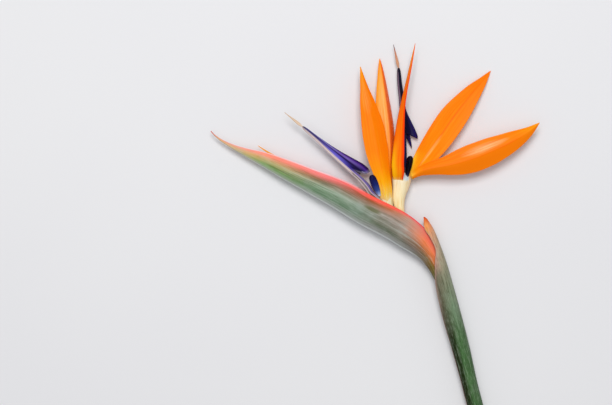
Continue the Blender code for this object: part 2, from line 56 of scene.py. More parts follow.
def curve_through(points, samples=3000):
    p = np.array(points, float)
    chord = np.concatenate([[0], np.cumsum(np.sqrt(np.linalg.norm(np.diff(p, axis=0), axis=1)))])
    ext = np.vstack([2 * p[0] - p[1], p, 2 * p[-1] - p[-2]])
    knots = np.concatenate([[-(chord[1] - chord[0])], chord, [chord[-1] + chord[-1] - chord[-2]]])
    out = []
    for i in range(1, len(p)):
        t0, t1, t2, t3 = knots[i - 1:i + 3]
        a, b, c, d = ext[i - 1:i + 3]
        t = np.linspace(t1, t2, samples // (len(p) - 1) + 2)[:, None]
        if i < len(p) - 1:
            t = t[:-1]
        ab = a * (t1 - t) / (t1 - t0) + b * (t - t0) / (t1 - t0)
        bc = b * (t2 - t) / (t2 - t1) + c * (t - t1) / (t2 - t1)
        cd = c * (t3 - t) / (t3 - t2) + d * (t - t2) / (t3 - t2)
        abc = ab * (t2 - t) / (t2 - t0) + bc * (t - t0) / (t2 - t0)
        bcd = bc * (t3 - t) / (t3 - t1) + cd * (t - t1) / (t3 - t1)
        out.append(abc * (t2 - t) / (t2 - t1) + bcd * (t - t1) / (t2 - t1))
    out = np.concatenate(out)
    length = np.concatenate([[0], np.cumsum(np.linalg.norm(np.diff(out, axis=0), axis=1))])
    share = length / length[-1]

    def at(t):
        return np.stack([np.interp(t, share, out[:, k]) for k in range(3)], axis=-1)

    at.length = float(length[-1])
    return at


def profile(*pairs):
    x = np.array([q[0] for q in pairs], float)
    y = np.array([q[1] for q in pairs], float)
    h, d = np.diff(x), np.diff(y) / np.diff(x)
    m = np.zeros(len(x))
    m[0], m[-1] = d[0], d[-1]
    for i in range(1, len(x) - 1):
        if d[i - 1] * d[i] > 0:
            a, b = 2 * h[i] + h[i - 1], h[i] + 2 * h[i - 1]
            m[i] = (a + b) / (a / d[i - 1] + b / d[i])

    def at(t):
        t = np.clip(np.asarray(t, float), x[0], x[-1])
        i = np.clip(np.searchsorted(x, t, side="right") - 1, 0, len(h) - 1)
        s = (t - x[i]) / h[i]
        return (
            (2 * s ** 3 - 3 * s ** 2 + 1) * y[i]
            + (s ** 3 - 2 * s ** 2 + s) * h[i] * m[i]
            + (-2 * s ** 3 + 3 * s ** 2) * y[i + 1]
            + (s ** 3 - s ** 2) * h[i] * m[i + 1]
        )

    return at


def stations(n, end_power=1.0, start_power=1.0):
    u = np.linspace(0, 1, n)
    a = u ** start_power
    b = 1 - (1 - u) ** end_power
    return a * (1 - u) + b * u


def frames(spine, t, roll):
    e = 0.006
    c = spine(t)
    tan = spine(np.minimum(t + e, 1)) - spine(np.maximum(t - e, 0))
    tan /= np.linalg.norm(tan, axis=1, keepdims=True)
    n0 = np.array([0, 0, 1.0]) - tan * tan[:, 2:]
    n0 /= np.linalg.norm(n0, axis=1, keepdims=True)
    s0 = np.cross(tan, n0)
    r = np.radians(roll)[:, None]
    n = n0 * np.cos(r) + s0 * np.sin(r)
    return c, tan, n, np.cross(tan, n)


class Waves:
    """Smooth noise that is the same each run: a sum of sines with seeded phases."""

    def __init__(self, seed, count=7):
        rng = np.random.RandomState(seed)
        self.k = rng.uniform(0.6, 1.9, (count, 2)) * np.where(rng.rand(count, 2) < 0.5, -1, 1)
        self.p = rng.uniform(0, 2 * math.pi, count)
        self.a = rng.uniform(0.5, 1.0, count)

    def __call__(self, x, y):
        out = 0
        for (kx, ky), p, a in zip(self.k, self.p, self.a):
            out = out + a * np.sin(kx * x + ky * y + p)
        return out / self.a.sum()


def grid_mesh(name, rings, attrs, cap="strip", sharp=None):
    """A closed mesh through rings (n, m, 3) in millimetres; attrs are (n, m) arrays."""
    n, m = rings.shape[:2]
    co = ((rings + SHIFT) * MM).reshape(-1, 3)
    idx = np.arange(n * m).reshape(n, m)
    a, b = idx[:-1], idx[1:]
    quads = np.stack([a, np.roll(a, -1, 1), np.roll(b, -1, 1), b], axis=-1).reshape(-1, 4)
    faces = [tuple(q) for q in quads.tolist()]
    extra = []
    for row, flip in ((idx[0], True), (idx[-1], False)):
        row = row.tolist()
        if cap == "strip":
            for i in range(m // 2 - 1):
                f = (row[i], row[i + 1], row[m - 2 - i], row[m - 1 - i])
                extra.append(f[::-1] if flip else f)
        else:
            extra.append(tuple(row[::-1] if flip else row))
    # outward winding: the volume must come out positive
    v = co[quads]
    vol = np.einsum("ij,ij->i", v[:, 0], np.cross(v[:, 1], v[:, 2])).sum()
    vol += np.einsum("ij,ij->i", v[:, 0], np.cross(v[:, 2], v[:, 3])).sum()
    faces += extra
    if vol < 0:
        faces = [f[::-1] for f in faces]
    mesh = bpy.data.meshes.new(name)
    mesh.from_pydata(co.tolist(), [], faces)
    mesh.validate()
    mesh.shade_smooth()
    for key, values in attrs.items():
        att = mesh.attributes.new(key, "FLOAT", "POINT")
        att.data.foreach_set("value", np.broadcast_to(values, (n, m)).astype(np.float32).ravel())
    obj = bpy.data.objects.new(name, mesh)
    bpy.context.scene.collection.objects.link(obj)
    if sharp:
        mesh.set_sharp_from_angle(angle=math.radians(sharp))
    return obj


def finish_piece(obj, material, node):
    obj.data.materials.append(material)
    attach(obj, "root")
    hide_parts(node)
    return obj


def blade(name, points, width, roll, fold, curl, material, nt=170, nv=57, thick=1.0,
          edge=0.34, veins=9.0, vein_h=0.035, wave=0.22, seed=1, crease=1.0, node=None):
    """A sepal or petal along a spine, with its midrib crease, parallel veins and soft margins."""
    spine = curve_through(points)
    t = stations(nt, end_power=1.5, start_power=1.1)
    c, tan, n, s = frames(spine, t, roll(t))
    half = width(t) / 2
    th0 = np.minimum(thick, 0.30 * half + 0.22)
    ed0 = np.minimum(edge, 0.6 * th0)
    lin = np.linspace(-1, 1, nv)
    v = np.sign(lin) * (1 - (1 - np.abs(lin)) ** 1.25)
    fine = np.linspace(0, 1, 81)
    slope = (np.radians(fold(t))[:, None] * np.tanh(fine / 0.14)
             + np.radians(curl(t))[:, None] * fine ** 3)
    dx = np.cos((slope[:, 1:] + slope[:, :-1]) / 2) / 80
    dy = np.sin((slope[:, 1:] + slope[:, :-1]) / 2) / 80
    xs = np.concatenate([np.zeros((nt, 1)), np.cumsum(dx, 1)], 1) * half[:, None]
    ys = np.concatenate([np.zeros((nt, 1)), np.cumsum(dy, 1)], 1) * half[:, None]
    a = np.abs(v)
    x = np.stack([np.interp(a, fine, row) for row in xs]) * np.where(v >= 0, 1, -1)
    y = np.stack([np.interp(a, fine, row) for row in ys])
    sl = np.stack([np.interp(a, fine, row) for row in slope])
    th = (ed0[:, None] + (th0 - ed0)[:, None] * (1 - a ** 2.2)) / 2
    round_off = np.sqrt(np.clip(1 - np.clip((a - 0.955) / 0.047, 0, 1) ** 2, 0, 1))
    th = th * np.maximum(round_off, 0.12)
    nx, ny = -np.sin(sl) * np.where(v >= 0, 1, -1), np.cos(sl)
    w = Waves(seed)
    w2 = Waves(seed + 50)
    U, V = np.broadcast_to(t[:, None], x.shape), np.broadcast_to(v[None, :], x.shape)
    env = np.clip(np.minimum(U / 0.12, (1 - U) / 0.10), 0, 1)
    size = np.clip(half[:, None] / 6.0, 0, 1)
    broad = wave * env * size * w(6.5 * U, 2.2 * V)
    margin = 0.35 * wave * env * size * a ** 4 * w2(26 * U, 1.5 * np.sign(V))
    x = x * (1 + 0.012 * env * w2(16 * U, 2 * np.sign(V)))
    lines = np.cos(2 * math.pi * (veins * a + 0.35 * w2(3 * U, 1.3 * V))) * (1 - a ** 6)
    ribs = vein_h * env * size * lines
    # the midrib: a fine groove on the hollow face and a low ridge on the other
    rib = crease * 0.16 * size * np.exp(-(a / 0.035) ** 2)
    sign_fold = np.where(fold(t) >= 0, 1.0, -1.0)[:, None]
    top_off = th + ribs * 0.5 - sign_fold * rib
    bot_off = th + ribs * 0.5 + sign_fold * rib
    top_off, bot_off = np.maximum(top_off, 0.03), np.maximum(bot_off, 0.03)
    shift_n = broad + margin
    top = (x + nx * top_off, y + ny * top_off + shift_n)
    bot = (x - nx * bot_off, y - ny * bot_off + shift_n)

    def place(q):
        return c[:, None, :] + s[:, None, :] * q[0][:, :, None] + n[:, None, :] * q[1][:, :, None]

    rings = np.concatenate([place(top), place(bot)[:, ::-1]], axis=1)
    rings[:, :, 2] = np.maximum(rings[:, :, 2], 0.12)
    vv = np.concatenate([V, V[:, ::-1]], axis=1)
    uu = np.concatenate([U, U], axis=1)
    side = np.concatenate([np.ones_like(V), np.zeros_like(V)], axis=1)
    obj = grid_mesh(name, rings, {"u": uu, "v": vv, "face_up": side})
    return finish_piece(obj, material, node or name)


def rod(name, points, radius, material, nt=60, sides=32, flatten=None, roll=0.0,
        ribs=0, rib_h=0.0, seed=3, lump=0.0, node=None, round_end=0.0):
    spine = curve_through(points)
    t = stations(nt)
    if round_end:
        extra = 1 - round_end * (1 - np.linspace(0, 1, 9)[1:]) ** 2
        t = np.unique(np.concatenate([t[t < 1 - round_end], extra]))
    c, tan, n, s = frames(spine, t, np.full(len(t), roll))
    r = radius(t)
    if round_end:
        k = np.clip((t - (1 - round_end)) / round_end, 0, 1)
        r = r * np.sqrt(np.clip(1 - k ** 2, 0.004, 1))
    f = flatten(t) if flatten else np.ones(len(t))
    ang = np.linspace(0, 2 * math.pi, sides, endpoint=False)
    w = Waves(seed)
    U = np.broadcast_to(t[:, None], (len(t), sides))
    A = np.broadcast_to(ang[None, :], U.shape)
    k = 1 + lump * w(9 * U + 2 * np.cos(A), 2 * np.sin(A))
    if ribs:
        k = k + rib_h * np.cos(ribs * A + 0.8 * w(5 * U, np.cos(A)))
    rr = r[:, None] * k
    rings = (c[:, None] + s[:, None] * (rr * np.cos(A))[:, :, None]
             + n[:, None] * (rr * f[:, None] * np.sin(A))[:, :, None])
    rings[:, :, 2] = np.maximum(rings[:, :, 2], 0.02)
    obj = grid_mesh(name, rings, {"u": U, "v": A / (2 * math.pi)}, cap="fan", sharp=55)
    return finish_piece(obj, material, node or name)


# ----------------------------------------------------------------- materials


def lin(rgb):
    out = []
    for v in rgb:
        v = v / 255
        out.append(v / 12.92 if v <= 0.04045 else ((v + 0.055) / 1.055) ** 2.4)
    return (*out, 1.0)


class Mat:
    def __init__(self, name):
        self.m = bpy.data.materials.new(name)
        self.m.use_nodes = True
        self.t = self.m.node_tree
        self.bsdf = self.t.nodes["Principled BSDF"]

    def node(self, kind, **props):
        nd = self.t.nodes.new(kind)
        for k, v in props.items():
            setattr(nd, k, v)
        return nd

    def put(self, socket, value):
        if isinstance(value, bpy.types.NodeSocket):
            self.t.links.new(value, socket)
        else:
            socket.default_value = value

    def attr(self, name):
        return self.node("ShaderNodeAttribute", attribute_name=name).outputs["Fac"]

    def math(self, op, a, b=0.0, c=0.0, clamp=False):
        nd = self.node("ShaderNodeMath", operation=op, use_clamp=clamp)
        for s, v in zip(nd.inputs, (a, b, c)):
            self.put(s, v)
        return nd.outputs[0]

    def combine(self, x, y, z=0.0):
        nd = self.node("ShaderNodeCombineXYZ")
        for s, v in zip(nd.inputs, (x, y, z)):
            self.put(s, v)
        return nd.outputs[0]

    def ramp(self, fac, stops, interp="LINEAR"):
        nd = self.node("ShaderNodeValToRGB")
        nd.color_ramp.interpolation = interp
        el = nd.color_ramp.elements
        stops = sorted(stops, key=lambda q: q[0])
        el[0].position, el[1].position = stops[0][0], stops[-1][0]
        while len(el) < len(stops):
            el.new(0.5)
        for e, (p, col) in zip(el, stops):
            e.position = p
            e.color = (col, col, col, 1) if isinstance(col, (int, float)) else (
                col if len(col) == 4 else lin(col))
        self.put(nd.inputs[0], fac)
        return nd.outputs[0]

    def mix(self, fac, a, b, blend="MIX"):
        nd = self.node("ShaderNodeMix", data_type="RGBA", blend_type=blend)
        self.put(nd.inputs[0], fac)
        self.put(nd.inputs[6], a if not isinstance(a, tuple) else (a if len(a) == 4 else lin(a)))
        self.put(nd.inputs[7], b if not isinstance(b, tuple) else (b if len(b) == 4 else lin(b)))
        return nd.outputs[2]

    def noise(self, vec, scale=1.0, detail=3.0, rough=0.55, distort=0.0):
        nd = self.node("ShaderNodeTexNoise")
        self.put(nd.inputs["Vector"], vec)
        nd.inputs["Scale"].default_value = scale
        nd.inputs["Detail"].default_value = detail
        nd.inputs["Roughness"].default_value = rough
        nd.inputs["Distortion"].default_value = distort
        return nd.outputs["Fac"]

    def where(self):
        return self.node("ShaderNodeTexCoord").outputs["Object"]

    def bump(self, height, strength=0.3, distance=0.0002, normal=None):
        nd = self.node("ShaderNodeBump")
        nd.inputs["Strength"].default_value = strength
        nd.inputs["Distance"].default_value = distance
        self.put(nd.inputs["Height"], height)
        if normal is not None:
            self.put(nd.inputs["Normal"], normal)
        return nd.outputs[0]

    def remap(self, v, a, b, c, d):
        nd = self.node("ShaderNodeMapRange")
        for s, q in zip(nd.inputs, (v, a, b, c, d)):
            self.put(s, q)
        return nd.outputs[0]

    def done(self, colour, rough=0.45, normal=None, **sockets):
        self.put(self.bsdf.inputs["Base Color"], colour)
        self.put(self.bsdf.inputs["Roughness"], rough)
        if normal is not None:
            self.put(self.bsdf.inputs["Normal"], normal)
        for k, v in sockets.items():
            self.bsdf.inputs[k.replace("_", " ")].default_value = v
        return self.m


def sepal_material(name, along, streak=(255, 166, 40), deep=(250, 100, 3), painted_highlight=0.0, painted_highlight_colour=(255, 206, 150),
                   painted_highlight_at=(0.5, 0.0, 0.3, 0.5), seed=0.0, edge=(0.62, 1.0, 0.35), side=0.0,
                   side_colour=(250, 96, 3), side_at=(0.02, 0.30, 0.85), side_from=0.0, keel=0.0, keel_colour=(255, 190, 16),
                   keel_to=0.28, keel_at=(-0.1, -0.5), foot=0.0, foot_colour=(246, 224, 170), rim=0.0, rim_colour=(255, 168, 92), rough=0.42, rib=0.35):
    """A waxy sepal. along: colours from base to tip. painted_highlight_at: where its painted highlight, a pale patch,
    lies (share of the length, share across, and how far it reaches each way)."""
    m = Mat(name)
    u, v = m.attr("u"), m.attr("v")
    av = m.math("ABSOLUTE", v)
    wander = m.noise(m.combine(m.math("MULTIPLY", u, 5.0), m.math("MULTIPLY", v, 9.0), seed), 1.0, 2.0)
    u2 = m.math("ADD", u, m.math("MULTIPLY", m.math("SUBTRACT", wander, 0.5), 0.06))
    col = m.ramp(u2, along)
    lines = m.noise(m.combine(m.math("MULTIPLY", u, 2.2), m.math("MULTIPLY", v, 8.0), seed + 3), 1.0, 5.0, 0.72)
    fine = m.noise(m.combine(m.math("MULTIPLY", u, 6.0), m.math("MULTIPLY", v, 26.0), seed + 7), 1.0, 4.0, 0.7)
    col = m.mix(m.remap(lines, 0.52, 0.66, 0.0, 0.34), col, streak)
    col = m.mix(m.remap(lines, 0.49, 0.34, 0.0, 0.55), col, deep)
    col = m.mix(m.remap(fine, 0.54, 0.70, 0.0, 0.20), col, streak)
    col = m.mix(m.remap(fine, 0.46, 0.30, 0.0, 0.30), col, deep)
    if side:
        amount = m.remap(m.math("MULTIPLY", v, side), *side_at[:2], 0.0, side_at[2])
        if side_from:
            amount = m.math("MULTIPLY", amount, m.remap(u, side_from * 0.4, side_from, 0.15, 1.0))
        col = m.mix(amount, col, side_colour)
    if keel:
        near = m.math("MULTIPLY", m.remap(v, keel_at[0], keel_at[1], 0.0, 1.0),
                      m.remap(u2, keel_to, keel_to * 0.45, 0.0, 1.0))
        col = m.mix(m.math("MULTIPLY", near, keel), col, keel_colour)
    col = m.mix(m.remap(av, edge[0], edge[1], 0.0, edge[2]), col, side_colour if side else deep)
    # painted shade: a deeper red line painted along the midrib groove
    col = m.mix(m.remap(av, 0.0, 0.07, rib, 0.0), col, deep)
    if rim:
        col = m.mix(m.remap(av, 0.94, 0.99, 0.0, rim), col, rim_colour)
    if foot:
        # the fleshy foot turns cream in long, uneven streaks
        reach = m.math("ADD", u, m.math("MULTIPLY", m.math("SUBTRACT", 0.5, lines), foot * 1.6))
        reach = m.math("ADD", reach, m.math("MULTIPLY", m.math("SUBTRACT", 0.5, fine), foot * 0.8))
        col = m.mix(m.remap(reach, foot * 1.25, foot * 0.55, 0.0, 1.0), col, foot_colour)
        white = m.math("MULTIPLY", m.remap(fine, 0.54, 0.64, 0.0, 0.75), m.remap(u, foot * 2.2, foot * 1.2, 0.0, 1.0))
        col = m.mix(white, col, (255, 248, 232))
    # painted highlight: a pale, streaky patch painted into the colour where the sheen would reflect the light
    if painted_highlight:
        du = m.math("DIVIDE", m.math("SUBTRACT", u, painted_highlight_at[0]), painted_highlight_at[2])
        dv = m.math("DIVIDE", m.math("SUBTRACT", v, painted_highlight_at[1]), painted_highlight_at[3])
        d = m.math("ADD", m.math("MULTIPLY", du, du), m.math("MULTIPLY", dv, dv))
        near = m.remap(d, 1.0, 0.10, 0.0, 1.0)
        strip = m.remap(m.math("ADD", m.math("MULTIPLY", lines, 0.6), m.math("MULTIPLY", fine, 0.4)), 0.42, 0.57, 0.10, 1.0)
        painted_highlight_mask = m.math("MULTIPLY", m.math("MULTIPLY", near, strip), painted_highlight)
        col = m.mix(painted_highlight_mask, col, painted_highlight_colour)
    grain = m.noise(m.where(), 900.0, 3.0, 0.6)
    rough_v = m.math("ADD", rough, m.math("MULTIPLY", m.math("SUBTRACT", lines, 0.5), 0.30))
    h = m.math("ADD", m.math("MULTIPLY", fine, 0.7), m.math("MULTIPLY", grain, 0.35))
    nor = m.bump(h, 0.35, 0.0002)
    return m.done(col, rough_v, nor, Specular_IOR_Level=0.06)


def across(m, share, stations, fac):
    """Colour ramps across the surface, blended from one station to the next along it."""
    col = None
    for i, (at, stops) in enumerate(stations):
        ramp = m.ramp(fac, stops)
        if col is None:
            col = ramp
        else:
            col = m.mix(m.remap(share, stations[i - 1][0], at, 0.0, 1.0), col, ramp)
    return col


# Zones along the spathe, each with its keel, flank, shoulder line, red band and rim; the light grey keel stops are
# painted light on the underside facing away from the key light.
SPATHE_ZONES = [
    (0.06, [(0.0, (95, 85, 45)), (0.30, (115, 105, 15)), (0.60, (140, 105, 15))]),
    (0.10, [(0.0, (110, 85, 50)), (0.30, (120, 90, 20)), (0.50, (220, 115, 40)), (0.75, (255, 135, 95))]),
    (0.18, [(0.0, (170, 165, 160)), (0.15, (115, 110, 105)), (0.42, (145, 100, 70)), (0.66, (245, 130, 75)),
            (1.0, (250, 105, 100))]),
    (0.27, [(0.0, (175, 175, 175)), (0.20, (110, 115, 100)), (0.55, (155, 140, 130)), (0.90, (190, 150, 130)),
            (1.0, (245, 70, 80))]),
    (0.34, [(0.0, (180, 180, 180)), (0.25, (100, 110, 90)), (0.60, (160, 150, 140)), (0.87, (185, 105, 65)),
            (0.95, (255, 90, 70))]),
    (0.42, [(0.0, (185, 190, 185)), (0.22, (90, 118, 92)), (0.50, (145, 160, 145)), (0.83, (140, 75, 30)),
            (0.91, (255, 90, 75))]),
    (0.58, [(0.0, (175, 185, 175)), (0.22, (95, 130, 95)), (0.45, (150, 170, 145)), (0.69, (135, 90, 60)),
            (0.87, (255, 130, 130))]),
    (0.78, [(0.0, (170, 180, 155)), (0.20, (125, 165, 90)), (0.50, (190, 165, 95)), (0.80, (255, 145, 120))]),
    (0.93, [(0.0, (215, 195, 155)), (0.50, (240, 170, 110)), (1.0, (230, 160, 160))]),
]


def spathe_material():
    m = Mat("spathe_skin")
    u, h, inner, around = m.attr("u"), m.attr("h"), m.attr("inner"), m.attr("v")
    lines = m.noise(m.combine(m.math("MULTIPLY", u, 6.0), m.math("MULTIPLY", around, 20.0), 1.3), 1.0, 5.0, 0.72)
    wide = m.noise(m.combine(m.math("MULTIPLY", u, 5.0), m.math("MULTIPLY", around, 7.0), 5.1), 1.0, 3.0, 0.55)
    fine = m.noise(m.combine(m.math("MULTIPLY", u, 22.0), m.math("MULTIPLY", around, 52.0), 2.0), 1.0, 4.0, 0.68)
    h2 = m.math("ADD", h, m.math("MULTIPLY", m.math("SUBTRACT", wide, 0.5), 0.05))
    h2 = m.math("ADD", h2, m.math("MULTIPLY", m.math("SUBTRACT", lines, 0.5), 0.06), clamp=True)
    u2 = m.math("ADD", u, m.math("MULTIPLY", m.math("SUBTRACT", wide, 0.5), 0.035))
    col = across(m, u2, SPATHE_ZONES, h2)
    green = m.remap(h2, 0.80, 0.62, 0.0, 1.0)
    col = m.mix(m.math("MULTIPLY", m.remap(lines, 0.49, 0.36, 0.0, 0.52), green), col, (62, 78, 52))
    col = m.mix(m.math("MULTIPLY", m.remap(lines, 0.52, 0.66, 0.0, 0.40), green), col, (184, 192, 182))
    neck = m.remap(u, 0.24, 0.20, 1.0, 0.25)
    col = m.mix(m.math("MULTIPLY", m.remap(fine, 0.47, 0.32, 0.0, 0.34), neck), col, (84, 76, 56))
    col = m.mix(m.remap(fine, 0.54, 0.68, 0.0, 0.20), col, (226, 214, 204))
    # painted reflected light: the strip along the keel, which faces away from the key light, is painted pale
    # grey-white
    painted_highlight = m.math("MULTIPLY", m.remap(h, 0.055, 0.02, 0.0, 0.8), m.remap(u, 0.10, 0.18, 0.0, 1.0))
    col = m.mix(painted_highlight, col, (228, 234, 230))
    # painted highlight: a pale pink-white line along the margin rim where it catches the light
    rim = m.math("MULTIPLY", m.remap(h, 0.93, 0.97, 0.0, 0.85),
                 m.math("MULTIPLY", m.remap(u, 0.44, 0.52, 0.0, 1.0), m.remap(lines, 0.42, 0.52, 0.35, 1.0)))
    col = m.mix(rim, col, (255, 222, 226))
    col = m.mix(m.remap(u, 0.965, 0.995, 0.0, 0.85), col, (206, 84, 74))
    bloom = m.noise(m.where(), 60.0, 4.0, 0.6)
    col = m.mix(m.math("MULTIPLY", m.remap(bloom, 0.50, 0.72, 0.0, 0.22), green), col, (176, 186, 182))
    # an olive bruise on its side
    du = m.math("DIVIDE", m.math("SUBTRACT", u, 0.385), 0.035)
    dh = m.math("DIVIDE", m.math("SUBTRACT", h, 0.60), 0.09)
    spot = m.remap(m.math("ADD", m.math("MULTIPLY", du, du), m.math("MULTIPLY", dh, dh)), 1.0, 0.2, 0.0, 0.7)
    col = m.mix(spot, col, (88, 92, 44))
    col = m.mix(inner, col, m.ramp(h, [(0.0, (170, 176, 120)), (0.8, (214, 196, 150)), (1.0, (246, 150, 130))]))
    grain = m.noise(m.where(), 700.0, 3.0, 0.6)
    nor = m.bump(m.math("ADD", m.math("MULTIPLY", fine, 0.9), m.math("MULTIPLY", grain, 0.3)), 0.35, 0.00022)
    rough = m.remap(bloom, 0.3, 0.75, 0.42, 0.62)
    return m.done(col, rough, nor, Specular_IOR_Level=0.07)


# Zones along the sheath, from its lit right-hand edge over the top to the shaded left-hand margin.
SHEATH_ZONES = [
    (0.46, [(0.0, (150, 155, 150)), (0.14, (72, 100, 66)), (0.50, (72, 110, 64)), (0.66, (24, 44, 6)),
            (0.90, (28, 30, 8))]),
    (0.60, [(0.0, (130, 140, 120)), (0.40, (115, 140, 110)), (0.75, (90, 85, 65)), (1.0, (145, 130, 115))]),
    (0.74, [(0.0, (140, 145, 125)), (0.40, (140, 140, 115)), (0.72, (120, 110, 90)), (1.0, (205, 165, 155))]),
    (0.85, [(0.0, (160, 155, 130)), (0.40, (190, 165, 140)), (0.60, (230, 165, 150))]),
    (0.925, [(0.0, (215, 170, 135)), (0.45, (225, 155, 115)), (0.70, (180, 155, 60))]),
    (0.965, [(0.0, (240, 125, 80)), (0.50, (250, 160, 85)), (1.0, (245, 120, 60))]),
]


def sheath_material():
    m = Mat("sheath_skin")
    u, a, inner = m.attr("u"), m.attr("ang"), m.attr("inner")
    lines = m.noise(m.combine(m.math("MULTIPLY", u, 8.0), m.math("MULTIPLY", a, 12.0), 4.0), 1.0, 5.0, 0.72)
    wide = m.noise(m.combine(m.math("MULTIPLY", u, 9.0), m.math("MULTIPLY", a, 5.0), 8.0), 1.0, 3.0, 0.6)
    fine = m.noise(m.combine(m.math("MULTIPLY", u, 34.0), m.math("MULTIPLY", a, 34.0), 6.0), 1.0, 4.0, 0.7)
    a2 = m.math("ADD", a, m.math("MULTIPLY", m.math("SUBTRACT", wide, 0.5), 0.14))
    u2 = m.math("ADD", u, m.math("MULTIPLY", m.math("SUBTRACT", wide, 0.5), 0.05))
    col = across(m, u2, SHEATH_ZONES, a2)
    col = m.mix(m.remap(lines, 0.48, 0.36, 0.0, 0.55), col, (34, 46, 18))
    col = m.mix(m.remap(lines, 0.53, 0.66, 0.0, 0.42), col, (146, 162, 138))
    col = m.mix(m.remap(fine, 0.47, 0.34, 0.0, 0.50), col, (34, 42, 18))
    col = m.mix(m.remap(fine, 0.54, 0.66, 0.0, 0.36), col, (164, 178, 158))
    edge = m.attr("edge")
    col = m.mix(m.remap(edge, 0.93, 0.985, 0.0, 0.80), col, (186, 146, 134))
    col = m.mix(m.remap(u, 0.965, 0.995, 0.0, 0.9), col, (216, 78, 28))
    col = m.mix(m.remap(u, 0.03, 0.0, 0.0, 0.8), col, (150, 150, 104))
    bloom = m.noise(m.where(), 90.0, 4.0, 0.6)
    col = m.mix(m.remap(bloom, 0.54, 0.76, 0.0, 0.26), col, (142, 158, 138))
    inside = m.ramp(u, [(0.0, (168, 160, 112)), (0.90, (150, 140, 70)), (0.95, (196, 176, 60)), (1.0, (240, 130, 60))])
    col = m.mix(inner, col, inside)
    grain = m.noise(m.where(), 800.0, 3.0, 0.6)
    nor = m.bump(m.math("ADD", fine, m.math("MULTIPLY", grain, 0.3)), 0.40, 0.00022)
    return m.done(col, m.remap(bloom, 0.3, 0.75, 0.42, 0.60), nor, Specular_IOR_Level=0.07)


def stem_material():
    m = Mat("stem_skin")
    u, a, cut = m.attr("u"), m.attr("v"), m.attr("cut")
    lines = m.noise(m.combine(m.math("MULTIPLY", u, 6.0), m.math("MULTIPLY", a, 40.0), 2.0), 1.0, 4.0, 0.6)
    fine = m.noise(m.where(), 500.0, 3.0, 0.6)
    col = m.ramp(u, [(0.0, (96, 118, 62)), (0.2, (74, 104, 56)), (0.45, (70, 100, 58)), (1.0, (110, 122, 90))])
    col = m.mix(m.remap(lines, 0.46, 0.28, 0.0, 0.5), col, (42, 62, 28))
    col = m.mix(m.remap(lines, 0.56, 0.76, 0.0, 0.4), col, (140, 160, 118))
    bundles = m.node("ShaderNodeTexVoronoi", feature="F1")
    m.put(bundles.inputs["Vector"], m.where())
    bundles.inputs["Scale"].default_value = 900.0
    dots = m.remap(bundles.outputs["Distance"], 0.12, 0.30, 1.0, 0.0)
    face = m.mix(m.math("MULTIPLY", dots, 0.6), (206, 210, 150), (134, 140, 82))
    col = m.mix(cut, col, face)
    nor = m.bump(m.math("ADD", m.math("MULTIPLY", lines, 0.6), m.math("MULTIPLY", fine, 0.4)), 0.35, 0.00025)
    return m.done(col, m.remap(lines, 0.3, 0.7, 0.40, 0.55), nor, Specular_IOR_Level=0.10)


def flesh_material(name, stops, streak=(255, 244, 210), seed=0.0, right=(246, 196, 156), top=None):
    m = Mat(name)
    u, v = m.attr("u"), m.attr("v")
    lines = m.noise(m.combine(m.math("MULTIPLY", u, 3.0), m.math("MULTIPLY", v, 34.0), seed), 1.0, 4.0, 0.62)
    col = m.ramp(m.math("ADD", u, m.math("MULTIPLY", m.math("SUBTRACT", lines, 0.5), 0.12)), stops)
    # v runs from the right-hand side (0) over the top (0.25) to the left (0.5)
    col = m.mix(m.remap(v, 0.12, 0.0, 0.0, 0.8), col, right)
    col = m.mix(m.remap(lines, 0.51, 0.62, 0.0, 0.7), col, streak)
    col = m.mix(m.remap(lines, 0.48, 0.36, 0.0, 0.6), col, (236, 190, 96))
    if top:
        # a cool, waxy patch where the blue petals leave the tube
        du = m.math("DIVIDE", m.math("SUBTRACT", u, top[0]), top[1])
        dv = m.math("DIVIDE", m.math("SUBTRACT", v, top[2]), top[3])
        d = m.math("ADD", m.math("MULTIPLY", du, du), m.math("MULTIPLY", dv, dv))
        col = m.mix(m.remap(d, 1.0, 0.25, 0.0, 0.9), col, (196, 214, 224))
    fine = m.noise(m.where(), 700.0, 3.0, 0.6)
    nor = m.bump(m.math("ADD", lines, m.math("MULTIPLY", fine, 0.4)), 0.30, 0.0002)
    return m.done(col, m.remap(lines, 0.3, 0.7, 0.38, 0.52), nor, Specular_IOR_Level=0.25)


